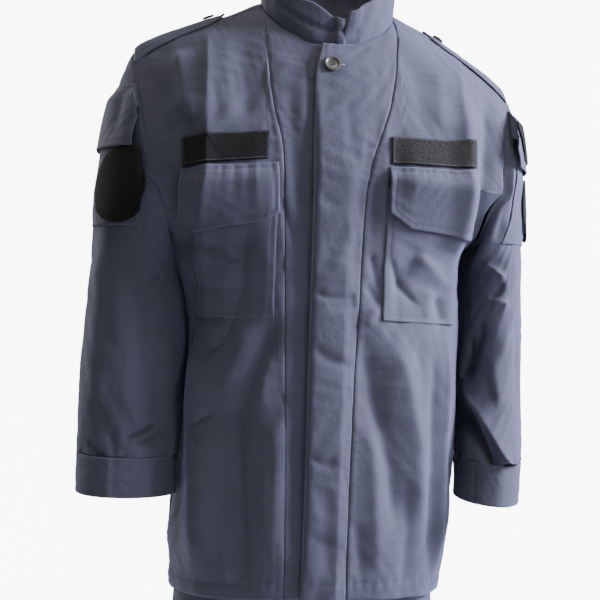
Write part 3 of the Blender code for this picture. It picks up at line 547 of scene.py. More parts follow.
# name, direction and height in degrees, distance, size, power, colour
LIGHTS = [
    ("key", 75.0, 26.0, 2.0, 1.0, 250.0, (0.73, 0.750, 1.0)),
    ("rim", -132.0, 18.0, 3.6, 1.8, 80.0, (1.0, 0.97, 0.93)),
    ("back", 165.0, 20.0, 4.0, 2.0, 70.0, (1.0, 0.98, 0.96)),
    ("top", -30.0, 76.0, 2.0, 1.0, 24.0, (1.0, 0.98, 0.95)),
]
# a soft round light from the front, on the wearer's left side
FRONT_AIM = (0.14, 0.0, -0.44)
FRONT_AZIMUTH = 18.0
FRONT_RISE = 0.32
FRONT_FAR = 2.4
FRONT_CONE = 22.0
FRONT_SIZE = 0.35
FRONT_POWER = 225.0
FRONT_COLOUR = (0.80, 0.82, 1.0)
# the camera stands as the photo's did; its focus and shift are in the photo's pixels
CAMERA_TURN = -9.0
CAMERA_ROLL = 2.2
CAMERA_FAR = 1.30
CAMERA_Z = -0.37
CAMERA_FOCUS = 1013
CAMERA_SHIFT = -14
PHOTO_WIDE = 600

# a seam: width of its dip, place and pitch of its puckers, the allowance that shows through
SEAM_DIP = 0.0013
SEAM_BAND = 0.0045
SEAM_PITCH = 0.0105
ALLOWANCE = 0.008
ALLOWANCE_TALL = 0.0003
# width of the paler, rubbed line along a seam or edge
RUBBED = 0.0012
RUBBED_EDGE = 0.001
# waves of the weave in radians per metre, two threads to a wave
WEAVE = 12500.0
# rows of stitching: along a seam, an edge and the hem, and the dip of a row
SEAM_ROW = 0.0020
EDGE_ROW = 0.0022
HEM_ROW = 0.0185
# way round a sleeve and over a leg's panel in metres: their folds are placed in hundredths of it
SLEEVE_ROUND = 0.40
LEG_WIDE = 0.25
PERCENT = 0.01
# folds: a common gain, the roundness of soft and sharp tops, the share at each end that fades out
FOLD_GAIN = 1.55
FOLD_TOP = 0.0016
CREASE_TOP = 0.0011
FOLD_END = 0.22
# lengths of the waves of worn cloth, how tall the long and the short ones are for their length
CRUMPLES = (0.085, 0.061, 0.043, 0.031, 0.0165, 0.072, 0.025, 0.0120, 0.051)
LONG_CRUMPLE = 0.0085
SHORT_CRUMPLE = 0.0150
SHORT_BELOW = 0.028
# height of the coat's hem, and how far its turned-in cloth stands out
HEM = 0.018
HEM_TALL = 0.0006

SIDES = ((True, "left"), (False, "right"))
COLLAR_END_X = 0.007
SLEEVE_LEAN = 0.0085
# a shoulder strap: distance from the middle, half width
STRAP = [
    (0.236, 0.024),
    (0.215, 0.024),
    (0.190, 0.0235),
    (0.165, 0.023),
    (0.148, 0.022),
    (0.137, 0.017),
    (0.127, 0.004),
]
# a row of stitching on an edge, and the pile of the two tapes
EDGE_DIP = 0.0062
GREY_PILE = 0.00028
DARK_PILE = 0.00022
STRAP_Y = -0.004
STRAP_ROW = 0.0042
COLLAR_ROW = 0.0045
ROW_DEEP = 0.0005
# place of the top front button, and a button's rim: share of its radius, level by its thickness
FRONT_BUTTON = (-0.004, -0.092)
BUTTON_RIM = [(0.96, -0.5), (1.0, -0.2), (1.0, 0.2), (0.94, 0.5), (0.80, 0.5), (0.66, 0.12), (0.50, 0.0)]
# a button's four holes: place and size by its radius, depth by its thickness
HOLE_AT = 0.21
HOLE = 0.085
HOLE_DEEP = 0.42
# trousers: how far the cloth and its hem's row sink, that row, and the middle seam's half gap
SEAT_SUNK = 0.0006
LEG_HEM_ROW = 0.022
MIDDLE_GAP = 0.0005
# share round the sleeve: the long seam down its front, and the slit of each cuff
FRONT_SEAM = 0.285
CUFF_SLIT = {True: 0.125, False: 0.295}
# steps of the grids
BODY_STEPS = (164, 84)
FLY_STEPS = [17, 11]
UNDER_STEPS = [15, 12]
SIDE_STEPS = [44, 38]
BACK_STEPS = [16, 16]
NECK_STEPS = 24
SLEEVE_STEPS = (84, 92, 132)
CUFF_STEPS = 26
COLLAR_STEPS = (170, 22)
LEG_STEPS = (105, 44, 44)
BAND_STEPS = (140, 12)


def blunt(far, top):
    """A distance that starts out flat, so that a fold has a rounded top."""
    return np.sqrt(far**2 + top**2) - top


def bell(off, wide):
    """1 at a line, and nearly 0 beyond about twice the width."""
    return np.exp(-((off / wide) ** 2))


def fold_height(rows, x, z, across=MM):
    """Height of the cloth over its plain surface, from a table of folds.

    across is the width in metres of one step in a point's first number.
    """
    total = np.zeros(x.shape)
    for points, first, second, height, sharp in rows:
        points = [(a * across, b * MM) for a, b in points]
        far = np.full(x.shape, 1e3)
        turn = np.zeros(x.shape)
        share = np.zeros(x.shape)
        spans = [math.dist(a, b) for a, b in zip(points, points[1:])]
        before = 0.0
        for (ax, az), (bx, bz), span in zip(points, points[1:], spans):
            dx, dz = bx - ax, bz - az
            t = np.clip(((x - ax) * dx + (z - az) * dz) / span**2, 0.0, 1.0)
            off = np.hypot(x - ax - t * dx, z - az - t * dz)
            near = off < far
            turn = np.where(near, dx * (z - az) - dz * (x - ax), turn)
            share = np.where(near, (before + t * span) / sum(spans), share)
            far = np.minimum(off, far)
            before += span
        wide = np.where(turn < 0, first, second) * MM
        if sharp:
            form = np.exp(-1.5 * blunt(far, CREASE_TOP) / wide)
        else:
            form = np.exp(-1.15 * (blunt(far, FOLD_TOP) / wide) ** 1.45)
        ends = smooth(share / FOLD_END) * smooth((1 - share) / FOLD_END)
        total += FOLD_GAIN * height * MM * form * (0.15 + 0.85 * ends)
    return total


def crumple(a, b, seed, size=1.0):
    """Small unevenness of worn cloth: soft waves of a few lengths in several directions."""
    total = np.zeros(a.shape)
    for k, plain_long in enumerate(CRUMPLES):
        turn = seed * 1.7 + k * 2.399
        long = plain_long * size
        tall = long * (LONG_CRUMPLE if plain_long > SHORT_BELOW else SHORT_CRUMPLE)
        c, s = math.cos(turn), math.sin(turn)
        bend = 0.4 * np.sin((a * s - b * c) / (long * 1.9) + seed + k)
        mask = (0.5 + 0.5 * np.sin((a * 0.7 + b) / (long * 1.3) + 3.1 * k + seed)) ** 2
        total += tall * mask * np.sin(TURN * (a * c + b * s) / long + bend * 3 + seed * k)
    return total


def arc(points, axis):
    """Distance along a grid's rows (axis 1) or columns (axis 0)."""
    steps = np.linalg.norm(np.diff(points, axis=axis), axis=-1)
    return np.concatenate([np.zeros_like(np.take(steps, [0], axis)), np.cumsum(steps, axis)], axis)


def seam(off, run, deep=0.0007, pucker=0.00030, seed=0.0):
    """The dip of a seam, the puckers beside its stitching and the allowance under it."""
    waves = np.sin(run * TURN / SEAM_PITCH + 1.6 * np.sin(run * 31 + seed) + seed)
    band = bell(off - SEAM_BAND, SEAM_BAND)
    under = ALLOWANCE_TALL * smooth((ALLOWANCE - off) / 0.002)
    return -deep * bell(off, SEAM_DIP) + pucker * waves * band + under


def grid_out(points, like):
    """The way out at each point of a grid, worked out from the grid itself."""
    out = unit(np.cross(np.gradient(points, axis=1), np.gradient(points, axis=0)))
    return np.where((out * like).sum(-1, keepdims=True) < 0, -out, out)


def ease(count, ends=0.35):
    """Steps from 0 to 1 that are closer together at both ends."""
    t = np.linspace(0.0, 1.0, count)
    return t * (1 - ends) + ends * smooth(t)


def add_piece(name, mesh, look, nodes=()):
    obj = bpy.data.objects.new(name, mesh)
    bpy.context.scene.collection.objects.link(obj)
    mesh.materials.append(look)
    mesh.shade_smooth()
    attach(obj, "root")
    if nodes:
        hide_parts(*nodes)
    return obj


def mesh_of(name, co, quads, uv=None, wear=None):
    mesh = bpy.data.meshes.new(name)
    mesh.vertices.add(len(co))
    mesh.vertices.foreach_set("co", co.astype(np.float32).ravel())
    mesh.loops.add(quads.size)
    mesh.loops.foreach_set("vertex_index", quads.astype(np.int32).ravel())
    mesh.polygons.add(len(quads))
    sides = quads.shape[1]
    mesh.polygons.foreach_set("loop_start", np.arange(0, quads.size, sides, dtype=np.int32))
    mesh.update(calc_edges=True)
    if uv is not None:
        layer = mesh.uv_layers.new(name="cut")
        layer.data.foreach_set("uv", uv[quads.ravel()].astype(np.float32).ravel())
    if wear is not None:
        spot = mesh.attributes.new("wear", "FLOAT", "POINT")
        spot.data.foreach_set("value", wear.astype(np.float32))
    mesh.validate()
    return mesh


def shell(name, points, like, look, thick=CLOTH, wear=None, nodes=None):
    """A thin cloth from a grid of outer points, closed at its edges, with its rims rounded."""
    out = grid_out(points, like)
    outer = points.copy()
    for edge in ((0, slice(None)), (-1, slice(None)), (slice(None), 0), (slice(None), -1)):
        outer[edge] -= out[edge] * thick * 0.35
    inner = points - out * thick
    rows, cols = points.shape[:2]
    co = np.concatenate([outer.reshape(-1, 3), inner.reshape(-1, 3)])
    number = np.arange(rows * cols).reshape(rows, cols)
    a, b, c, d = number[:-1, :-1], number[:-1, 1:], number[1:, 1:], number[1:, :-1]
    face = np.stack([a, b, c, d], -1).reshape(-1, 4)
    back = face[:, ::-1] + rows * cols
    ring = np.concatenate([number[0, :], number[1:, -1], number[-1, -2::-1], number[-2:0:-1, 0]])
    turn = np.roll(ring, -1)
    rim = np.stack([ring, ring + rows * cols, turn + rows * cols, turn], -1)
    quads = np.concatenate([face, back, rim])
    first = outer[1, 0] - outer[0, 0]
    across = outer[0, 1] - outer[0, 0]
    if np.dot(np.cross(across, first), out[0, 0]) < 0:
        quads = quads[:, ::-1]
    u = arc(points, 1) - arc(points, 1)[:, cols // 2, None]
    v = arc(points, 0)
    uv = np.stack([u, v], -1).reshape(-1, 2)
    if wear is None:
        wear = np.zeros((rows, cols))
    mesh = mesh_of(name + "_cloth", co, quads, np.concatenate([uv, uv]), np.tile(wear.ravel(), 2))
    made = add_piece(name + "_cloth", mesh, look, nodes or [name])
    return made, outer, out


def resample(path, out, step):
    """Points at an even pitch along a path, with the way out and the way along."""
    far = np.concatenate([[0.0], np.linalg.norm(np.diff(path, axis=0), axis=1).cumsum()])
    at = np.arange(step * 0.7, far[-1] - step * 0.5, step)
    place = np.stack([np.interp(at, far, path[:, k]) for k in range(3)], -1)
    up = unit(np.stack([np.interp(at, far, out[:, k]) for k in range(3)], -1))
    ahead = unit(np.gradient(place, axis=0)) if len(at) > 2 else np.zeros_like(place)
    return place, up, ahead


def stitches(name, paths, look, pitch=STITCH):
    """Rows of thread: each stitch is a short low bar with sloping ends, sunk in the cloth."""
    co, quads = [], []
    count = 0
    for path, out in paths:
        place, up, ahead = resample(path, out, pitch)
        if len(place) < 3:
            continue
        aside = unit(np.cross(up, ahead))
        corners = []
        for long, wide, tall in ((pitch * 0.40, 0.00030, -0.0002), (pitch * 0.22, 0.00018, 0.00026)):
            for end in (-1, 1):
                for side in (-1, 1):
                    corners.append(place + ahead * long * end + aside * wide * side + up * tall)
        base = count + np.arange(len(place))[:, None] * 8
        quads += [base + np.array(face) for face in STITCH_FACES]
        co.append(np.stack(corners, 1).reshape(-1, 3))
        count += len(place) * 8
    mesh = mesh_of(name, np.concatenate(co), np.concatenate(quads))
    return add_piece(name, mesh, look)


def inset_path(points, out, side, off):
    """The path at a distance from one side of a grid: first, last, bottom or top."""
    if side in ("bottom", "top"):
        points, out = points.transpose(1, 0, 2), out.transpose(1, 0, 2)
    if side in ("last", "top"):
        points, out = points[:, ::-1], out[:, ::-1]
    far = arc(points, 1)
    index = np.clip((far < off).sum(1), 1, points.shape[1] - 1)
    line_of = np.arange(len(points))
    a, b = far[line_of, index - 1], far[line_of, index]
    t = ((off - a) / np.maximum(b - a, 1e-9))[:, None]
    path = points[line_of, index - 1] * (1 - t) + points[line_of, index] * t
    return path, unit(out[line_of, index - 1] * (1 - t) + out[line_of, index] * t)


def panel(name, theta, rows, seams, rows_of, seed, folds=FRONT_FOLDS, lift=None, thick=CLOTH):
    """A panel of the coat's body; seams names the grid's sides that are sewn."""
    row = np.broadcast_to(rows[:, None], theta.shape)
    lift = 0.0 if lift is None else lift(theta, row)
    plain, out = body(theta, row)
    across, up = arc(plain, 1), arc(plain, 0)
    high = lift + fold_height(folds, plain[..., 0], plain[..., 2])
    high = high + crumple(across + plain[:1, :1, 0], up, seed)
    wide = across[:, -1:]
    tall = up[-1:, :]
    wear = np.zeros(row.shape)
    for side in seams:
        off = {"first": across, "last": wide - across, "bottom": up, "top": tall - up}[side]
        run = up if side in ("first", "last") else across
        high = high + seam(off, run, seed=seed + len(side))
        wear = np.maximum(wear, bell(off, RUBBED))
    high = high + HEM_TALL * (smooth((HEM - up) / 0.002) - bell(up - HEM_ROW, 0.0012))
    ripple = np.sin(across * TURN / 0.013 + 2 * np.sin(across * 40))
    high = high + 0.0004 * ripple * bell(up - HEM, 0.006)
    made, outer, way = shell(name, plain + out * high[..., None], out, COTTON, thick, wear)
    sew(name, outer, way, rows_of + [("bottom", HEM_ROW)])


def body_rows(count_low, count_high):
    """Rows from the hem to the neck, closer together where the armhole's edge starts."""
    near = [-0.1199, -0.1196, -0.119, -0.118, -0.1165, -0.1145, -0.1115]
    rows = np.concatenate([np.linspace(-1, 0, count_low), np.linspace(0, 1, count_high)[1:], near])
    return np.unique(np.round(rows, 5))


def between(stations, counts):
    """Angles over a grid: stations are columns of angles, with steps between each two."""
    parts = [stations[0][:, None]]
    for a, b, count in zip(stations, stations[1:], counts):
        t = (np.arange(count) + 1) / count
        parts.append(a[:, None] + (b - a)[:, None] * t[None])
    return np.concatenate(parts, 1)


def fly_lift(theta, row):
    """How far the left front rises, towards its edge, over the right one."""
    far = line(row, "seam_left")
    near = line(row, "under")
    return FLY_LIFT * smooth((theta - far) / np.maximum(1e-6, near - far))


def ramp(tree, source, low, high, dark, light):
    """A colour ramp from dark to light between two levels of a value."""
    made = tree.nodes.new("ShaderNodeValToRGB")
    made.color_ramp.elements[0].position = low
    made.color_ramp.elements[1].position = high
    made.color_ramp.elements[0].color = (*dark, 1)
    made.color_ramp.elements[1].color = (*light, 1)
    tree.links.new(source, made.inputs["Fac"])
    return made.outputs["Color"]


def mix(tree, factor, a, b, blend="MIX"):
    made = tree.nodes.new("ShaderNodeMix")
    made.data_type = "RGBA"
    made.blend_type = blend
    for socket, value in (("Factor", factor), ("A", a), ("B", b)):
        slot_in = [s for s in made.inputs if s.name == socket and s.enabled][0]
        if isinstance(value, bpy.types.NodeSocket):
            tree.links.new(value, slot_in)
        else:
            slot_in.default_value = value
    return [s for s in made.outputs if s.enabled][0]


def maths(tree, kind, a, b=None):
    made = tree.nodes.new("ShaderNodeMath")
    made.operation = kind
    for socket, value in zip(made.inputs, (a, b)):
        if isinstance(value, bpy.types.NodeSocket):
            tree.links.new(value, socket)
        elif value is not None:
            socket.default_value = value
    return made.outputs[0]


def noise(tree, coords, scale, detail=4.0, rough=0.55):
    made = tree.nodes.new("ShaderNodeTexNoise")
    made.inputs["Scale"].default_value = scale
    made.inputs["Detail"].default_value = detail
    made.inputs["Roughness"].default_value = rough
    tree.links.new(coords, made.inputs["Vector"])
    return made.outputs["Fac"]


def bump(tree, height, strength, distance, normal=None):
    made = tree.nodes.new("ShaderNodeBump")
    made.inputs["Strength"].default_value = strength
    made.inputs["Distance"].default_value = distance
    tree.links.new(height, made.inputs["Height"])
    if normal is not None:
        tree.links.new(normal, made.inputs["Normal"])
    return made.outputs["Normal"]


def new_material(name, rough, sheen=0.0, sheen_rough=0.4, sheen_tint=(1, 1, 1, 1), specular=0.3):
    made = bpy.data.materials.new(name)
    made.use_nodes = True
    shader = made.node_tree.nodes["Principled BSDF"]
    shader.inputs["Roughness"].default_value = rough
    shader.inputs["Sheen Weight"].default_value = sheen
    shader.inputs["Sheen Roughness"].default_value = sheen_rough
    shader.inputs["Sheen Tint"].default_value = sheen_tint
    shader.inputs["Specular IOR Level"].default_value = specular
    return made, made.node_tree, shader


def cotton(name, dark, light, thread):
    """Plain weave in a dark blue, a little faded on its high edges, with the threads of the weave."""
    made, tree, shader = new_material(name, 0.82, 0.22, 0.45, (0.62, 0.66, 1.0, 1), 0.22)
    coords = tree.nodes.new("ShaderNodeTexCoord")
    cut = coords.outputs["UV"]
    place = coords.outputs["Object"]
    # the ground, uneven over the width of a hand
    cloud = noise(tree, place, 9.0, 5.0, 0.6)
    colour = ramp(tree, cloud, 0.32, 0.70, dark, light)
    # thicker threads, as streaks along the cut
    streak = tree.nodes.new("ShaderNodeMapping")
    streak.inputs["Scale"].default_value = (1400.0, 90.0, 1.0)
    tree.links.new(cut, streak.inputs["Vector"])
    slub = noise(tree, streak.outputs["Vector"], 1.0, 2.0)
    colour = mix(tree, maths(tree, "MULTIPLY", slub, 0.35), colour, (*thread, 1))
    # faded edges
    wear = tree.nodes.new("ShaderNodeAttribute")
    wear.attribute_name = "wear"
    faded = maths(tree, "MULTIPLY", wear.outputs["Fac"], noise(tree, place, 60.0, 3.0))
    colour = mix(tree, maths(tree, "MULTIPLY", faded, 0.3), colour, (*[2.2 * v for v in light], 1))
    tree.links.new(colour, shader.inputs["Base Color"])
    # the weave, and an uneven surface over it
    part = tree.nodes.new("ShaderNodeSeparateXYZ")
    tree.links.new(cut, part.inputs["Vector"])
    warp, weft = [
        maths(tree, "SINE", maths(tree, "MULTIPLY", part.outputs[way], WEAVE)) for way in ("X", "Y")
    ]
    weave = maths(tree, "MULTIPLY", warp, weft)
    fine = bump(tree, weave, 0.25, 0.00012)
    uneven = bump(tree, noise(tree, place, 170.0, 5.0, 0.68), 0.70, 0.00075, fine)
    tree.links.new(uneven, shader.inputs["Normal"])
    return made


def loop_tape(name, dark, light):
    """Hook tape's soft half: a dense pile of tiny loops with paler tips."""
    made, tree, shader = new_material(name, 0.95, 0.06, 0.6, (0.9, 0.9, 0.8, 1), 0.1)
    place = tree.nodes.new("ShaderNodeTexCoord").outputs["Object"]
    speck = noise(tree, place, 620.0, 3.0, 0.7)
    colour = ramp(tree, speck, 0.42, 0.66, dark, light)
    tree.links.new(colour, shader.inputs["Base Color"])
    tree.links.new(bump(tree, noise(tree, place, 900.0, 2.0), 0.8, 0.0006), shader.inputs["Normal"])
    return made


def hard(name, dark, light, rough):
    """Resin or thread, with a fine mottle."""
    made, tree, shader = new_material(name, rough, specular=0.5)
    place = tree.nodes.new("ShaderNodeTexCoord").outputs["Object"]
    colour = ramp(tree, noise(tree, place, 160.0, 3.0), 0.35, 0.7, dark, light)
    tree.links.new(colour, shader.inputs["Base Color"])
    tree.links.new(bump(tree, noise(tree, place, 700.0, 2.0), 0.15, 0.0001), shader.inputs["Normal"])
    return made


COTTON = cotton("cotton", (0.0385, 0.0390, 0.0510), (0.0495, 0.0500, 0.0655), (0.071, 0.072, 0.0915))
THREAD = hard("thread", (0.060, 0.062, 0.082), (0.085, 0.088, 0.115), 0.7)
PILE_DARK = loop_tape("pile_dark", (0.0026, 0.0026, 0.0022), (0.0075, 0.0072, 0.0062))
PILE_GREY = loop_tape("pile_grey", (0.0055, 0.0050, 0.0042), (0.030, 0.027, 0.022))
HORN = hard("button_resin", (0.034, 0.034, 0.026), (0.070, 0.069, 0.055), 0.34)
PALE_THREAD = hard("pale_thread", (0.20, 0.20, 0.22), (0.34, 0.34, 0.36), 0.7)


def sew(name, outer, out, rows):
    """Rows of stitching on a piece: (side, distance from it)."""
    paths = [inset_path(outer, out, side, off) for side, off in rows]
    sewn = [stitches(name + "_stitches", paths, THREAD)] if paths else []


def rows_at(off, *sides):
    """One row of stitching at the same distance from each side."""
    return [(side, off) for side in sides]


def coat_panels():
    rows = body_rows(*BODY_STEPS)

    middle = table_at(LINES, rows)[3]
    end = middle + (COLLAR_END_X - middle) * smooth(rows)
    centre = [line(rows, "seam_left"), theta_at(end, rows), line(rows, "fly")]
    edge = [("first", SEAM_ROW), ("last", EDGE_ROW)]
    panel(
        "front_left", between(centre, FLY_STEPS), rows, ["first", "top"], edge, 1.0,
        lift=fly_lift, thick=BAND_CLOTH,
    )
    centre = [line(rows, name) for name in ("seam_right", "fly", "under")]
    theta = between(centre, UNDER_STEPS)
    panel("front_right", theta, rows, ["first", "top"], [("first", SEAM_ROW)], 2.0)

    for left, word in SIDES:
        stations = [line(rows, "seam_" + word), line(rows, "mid_" + word), side_theta(rows, left)]
        panel(
            "front_side_" + word, between(stations, SIDE_STEPS), rows, ["first", "last", "top"],
            [("first", 0.0065), ("last", SEAM_ROW), ("last", 0.0075)], 3.0 + left,
        )

    turns = np.arange(NECK_STEPS + 1) * math.pi / NECK_STEPS
    neck = [theta_at(NECK_HALF * math.cos(t), rows, False) for t in turns]
    left = [side_theta(rows, True, False), line(rows, "mid_left", False), neck[0]]
    right = [neck[-1], line(rows, "mid_right", False), side_theta(rows, False, False)]
    halves = [between(left, BACK_STEPS)[:, :-1], between(right, BACK_STEPS)[:, 1:]]
    theta = np.concatenate([halves[0], np.stack(neck, 1), halves[1]], 1)
    panel(
        "back", theta, rows, ["first", "last", "top"],
        rows_at(SEAM_ROW, "first", "last") + [("top", 0.0030)], 6.0, BACK_FOLDS,
    )


def sleeve_high(left, share, z):
    rows = LEFT_SLEEVE_FOLDS if left else RIGHT_SLEEVE_FOLDS
    return fold_height(rows, share * SLEEVE_ROUND, z, SLEEVE_ROUND * PERCENT)


def beside_body(left, share, plain):
    """How far a sleeve leans on the body below the armpit; only the wearer's right one does."""
    near = (0.5 + 0.5 * np.cos(2 * math.pi * share)) ** 1.5
    reach = smooth((-0.235 - plain[..., 2]) / 0.06) * (1 - 0.4 * smooth((-0.50 - plain[..., 2]) / 0.1))
    lean = np.zeros(plain.shape)
    lean[..., 0] = (0.0 if left else SLEEVE_LEAN) * near * reach
    return lean


def sleeve_part(sleeve, left, share, t):
    """A grid of a sleeve: its plain points, the way out, distances across and up, and its lean."""
    plain, out = sleeve.at(share, t), sleeve.out_of(share, t)
    return plain, out, arc(plain, 1), arc(plain, 0), beside_body(left, share, plain)


def sleeve_piece(sleeve, left, word, end):
    cap, arm, turns = SLEEVE_STEPS
    steps = np.concatenate([np.linspace(0, 1, cap), np.linspace(1, end, arm)[1:]])
    share, t = np.meshgrid(np.linspace(0, 1, turns), steps)
    plain, out, across, up, lean = sleeve_part(sleeve, left, share, t)
    high = sleeve_high(left, share, plain[..., 2]) * smooth(up / 0.012)
    high = high + crumple(across, up, 8.0 + left) * smooth(up / 0.01)
    high = high + seam(up, across, seed=2.0) + seam(across, up) + seam(across[:, -1:] - across, up)
    low = up[-1:] - up
    # gathered into the cuff
    gather = 0.0012 * np.sin(across * TURN / 0.026 + 2.2 * np.sin(across * 17)) * np.exp(-low / 0.022)
    high = high + seam(low, across, 0.0010, 0.0004) + gather
    # the long seam shows below the sleeve's pocket
    front_seam = bell((share - FRONT_SEAM) * SLEEVE_ROUND, 0.0014)
    high = high - 0.0008 * front_seam * smooth((-0.30 - plain[..., 2]) / 0.01)
    wear = bell(up, RUBBED) + bell(low, RUBBED)
    points = plain + out * high[..., None] + lean
    # the first row reaches into the seam of the armhole
    points[0] += unit(points[0] - points[2]) * 0.0030 - out[0] * 0.0006
    nodes = [f"sleeve_front_{word}", f"sleeve_back_{word}"]
    made, outer, way = shell("sleeve_" + word, points, out, COTTON, CLOTH, wear, nodes)
    sew("sleeve_" + word, outer, way, rows_at(SEAM_ROW, "first", "top"))


def cuff_piece(sleeve, left, word, end):
    """The band at the wrist, with the overlap of its slit."""
    share, t = np.meshgrid(np.linspace(0, 1, SLEEVE_STEPS[2]), np.linspace(end, 2, CUFF_STEPS))
    plain, out, across, up, lean = sleeve_part(sleeve, left, share, t)
    open_by = (share - CUFF_SLIT[left]) * SLEEVE_ROUND
    overlap = 0.0016 * smooth(open_by / 0.0012) * smooth(1 - open_by / 0.05)
    high = 0.0007 + crumple(across, up, 11.0 + left, 0.8) + overlap
    high = high + 0.0003 * np.sin(across * TURN / 0.011) * np.exp(-up / 0.004)
    wear = bell(up, RUBBED_EDGE) + bell(up[-1:] - up, RUBBED_EDGE)
    points = plain + out * high[..., None] + lean
    made, outer, way = shell("cuff_" + word, points, out, COTTON, BAND_CLOTH, wear)
    sew("cuff_" + word, outer, way, rows_at(EDGE_ROW, "bottom", "top"))


def sleeves_and_cuffs(sleeves):
    for left, word in SIDES:
        end = sleeves[left].t_of(CUFF_Z)
        sleeve_piece(sleeves[left], left, word, end)
        cuff_piece(sleeves[left], left, word, end)


def collar_base():
    """The neckline from its right end round to its left, the way out, and distances along it."""
    right = between([line(np.array([1.0]), n) for n in ("under", "fly", "seam_right")], [8, 14])[0]
    turns = np.arange(49) * math.pi / 48
    rear = np.array([float(theta_at(NECK_HALF * math.cos(t), 1.0, False)) for t in turns])[::-1][1:]
    left = between([line(np.array([1.0]), "seam_left"), theta_at(np.array([COLLAR_END_X]), 1.0)], [18])[0]
    theta = np.concatenate([right, rear, left[1:]])
    base, out = body(theta, 1.0)
    lift = np.where(theta > 0, np.where(base[:, 0] > 0, fly_lift(theta, np.ones_like(theta)), 0.0), 0.0)
    base = base + out * lift[:, None]
    far = arc(base[None], 1)[0]
    keep = np.concatenate([[True], np.diff(far) > 1e-6])
    base, far = base[keep], far[keep]
    at = np.linspace(0, far[-1], COLLAR_STEPS[0])
    base = np.stack([np.interp(at, far, base[:, k]) for k in range(3)], -1)
    run = np.gradient(base, axis=0)
    out = unit(np.stack([-run[:, 1], run[:, 0], 0 * at], -1))
    flip = (out[:, 0] * base[:, 0] + out[:, 1] * (base[:, 1] + 0.01)) < 0
    out = np.where(flip[:, None], -out, out)
    for _ in range(6):
        out = unit(np.concatenate([out[:1], (out[:-2] + out[1:-1] + out[2:]) / 3, out[-1:]]))
    return base, out, at


def collar_piece():
    base, out, at = collar_base()
    long = at[-1]
    # lower towards both ends
    tall = COLLAR_HEIGHT - 0.018 * smooth(1 - at / 0.045) - 0.008 * smooth(1 - (long - at) / 0.045)
    levels = ease(COLLAR_STEPS[1])
    rise = levels[:, None] * (tall[None] + COLLAR_SUNK) - COLLAR_SUNK
    # it stands nearly upright, and falls open in front
    fall = 0.02 + 0.10 * smooth((-0.045 - base[:, 1]) / 0.01)
    points = np.broadcast_to(base[None], (*rise.shape, 3)).copy()
    points[..., 2] += rise
    # each end leans to its own side
    lean = 0.24 * smooth(1 - (long - at) / 0.03) - 0.05 * smooth(1 - at / 0.03)
    points[..., 0] += rise * lean[None]
    bow = 0.0012 * np.sin(math.pi * levels)[:, None]
    high = rise * fall[None] + bow + crumple(np.broadcast_to(at, rise.shape), rise, 14.0, 0.9)
    high = high + seam(np.abs(rise), np.broadcast_to(at, rise.shape), 0.0008)
    # a crease across the end on the wearer's right
    crease = np.abs(rise - 0.020 - 0.10 * (at[None] - 0.05))
    high = high - 0.0020 * bell(crease, 0.004) * smooth((0.11 - at[None]) / 0.03)
    ways = np.broadcast_to(out[None], points.shape)
    wear = bell(tall[None] - rise, RUBBED_EDGE)
    points = points + ways * high[..., None]
    made, outer, way = shell("collar", points, ways, COTTON, BAND_CLOTH, wear)
    edge = rows_at(COLLAR_ROW, "first", "last")
    sew("collar", outer, way, [("top", COLLAR_ROW), ("bottom", SEAM_ROW)] + edge)


def shoulder_strap(left, word):
    """A strap from the armhole to its point near the neck, with its outer points and way out."""
    side = 1 if left else -1
    xs, half = np.array(STRAP).T
    x = np.linspace(xs[0], xs[-1], 46)
    reach = np.interp(-x, -xs, half)[:, None]
    # from one long edge (-1) to the other (1)
    k = ease(24)[None] * 2 - 1
    y = STRAP_Y + reach * k
    x = np.broadcast_to(x[:, None], y.shape)
    ridge = ridge_z(side * x)
    a0, _, bf, bb, n = table_at(TORSO, CHEST_Z)
    theta = np.arccos((x / a0) ** (n / 2))
    deep = np.where(y < 0, bf, bb) * np.sin(theta) ** (2 / n)
    bend = np.where(y < 0, FRONT_ROUND, BACK_ROUND)
    z = ridge - (ridge - CHEST_Z) * (1 - (1 - (np.abs(y) / deep) ** bend) ** (1 / bend))
    fall = (ridge_z(side * (x - 0.004)) - ridge_z(side * (x + 0.004))) / 0.008
    slope = unit(np.stack([side * fall, y / 0.12, 1 + 0 * x], -1))
    # distances from the long edges and from the slanted edges of the point
    edge = np.minimum((1 - np.abs(k)) * reach, 0.02)
    tip = (x - xs[-1]) * 0.7
    off = np.minimum(edge, tip)
    high = 0.0032 + 0.0012 * (1 - k**2) - ROW_DEEP * bell(off - STRAP_ROW, 0.0012)
    high = high + 0.0002 * np.sin(x * TURN / 0.009) * bell(off - 0.004, 0.003)
    high = high + crumple(x, y, 17.0 + left, 0.7) * 0.6
    points = np.stack([side * x, y, z], -1) + slope * high[..., None]
    name = "epaulette_" + word
    made, outer, way = shell(name, points, slope, COTTON, STRAP_CLOTH, bell(off, RUBBED_EDGE))
    sew(name, outer, way, rows_at(STRAP_ROW, "first", "last"))
    return outer, way


def lerp_quad(corners, u, v):
    """Points between four corners; u runs across and v up."""
    bl, br, tr, tl = corners
    u, v = u[..., None], v[..., None]
    return (bl * (1 - u) + br * u) * (1 - v) + (tl * (1 - u) + tr * u) * v


def rim_of(across, up):
    """Distance from the nearest edge of a grid."""
    return np.minimum(np.minimum(across, across[:, -1:] - across), np.minimum(up, up[-1:] - up))


def pile(across, up, seed):
    """The uneven top of loop tape, from -1 to 1."""
    first = np.sin(across * 7100 + 3 * np.sin(up * 5300 + seed))
    return first * np.sin(up * 6700 + 2.5 * np.sin(across * 4900))


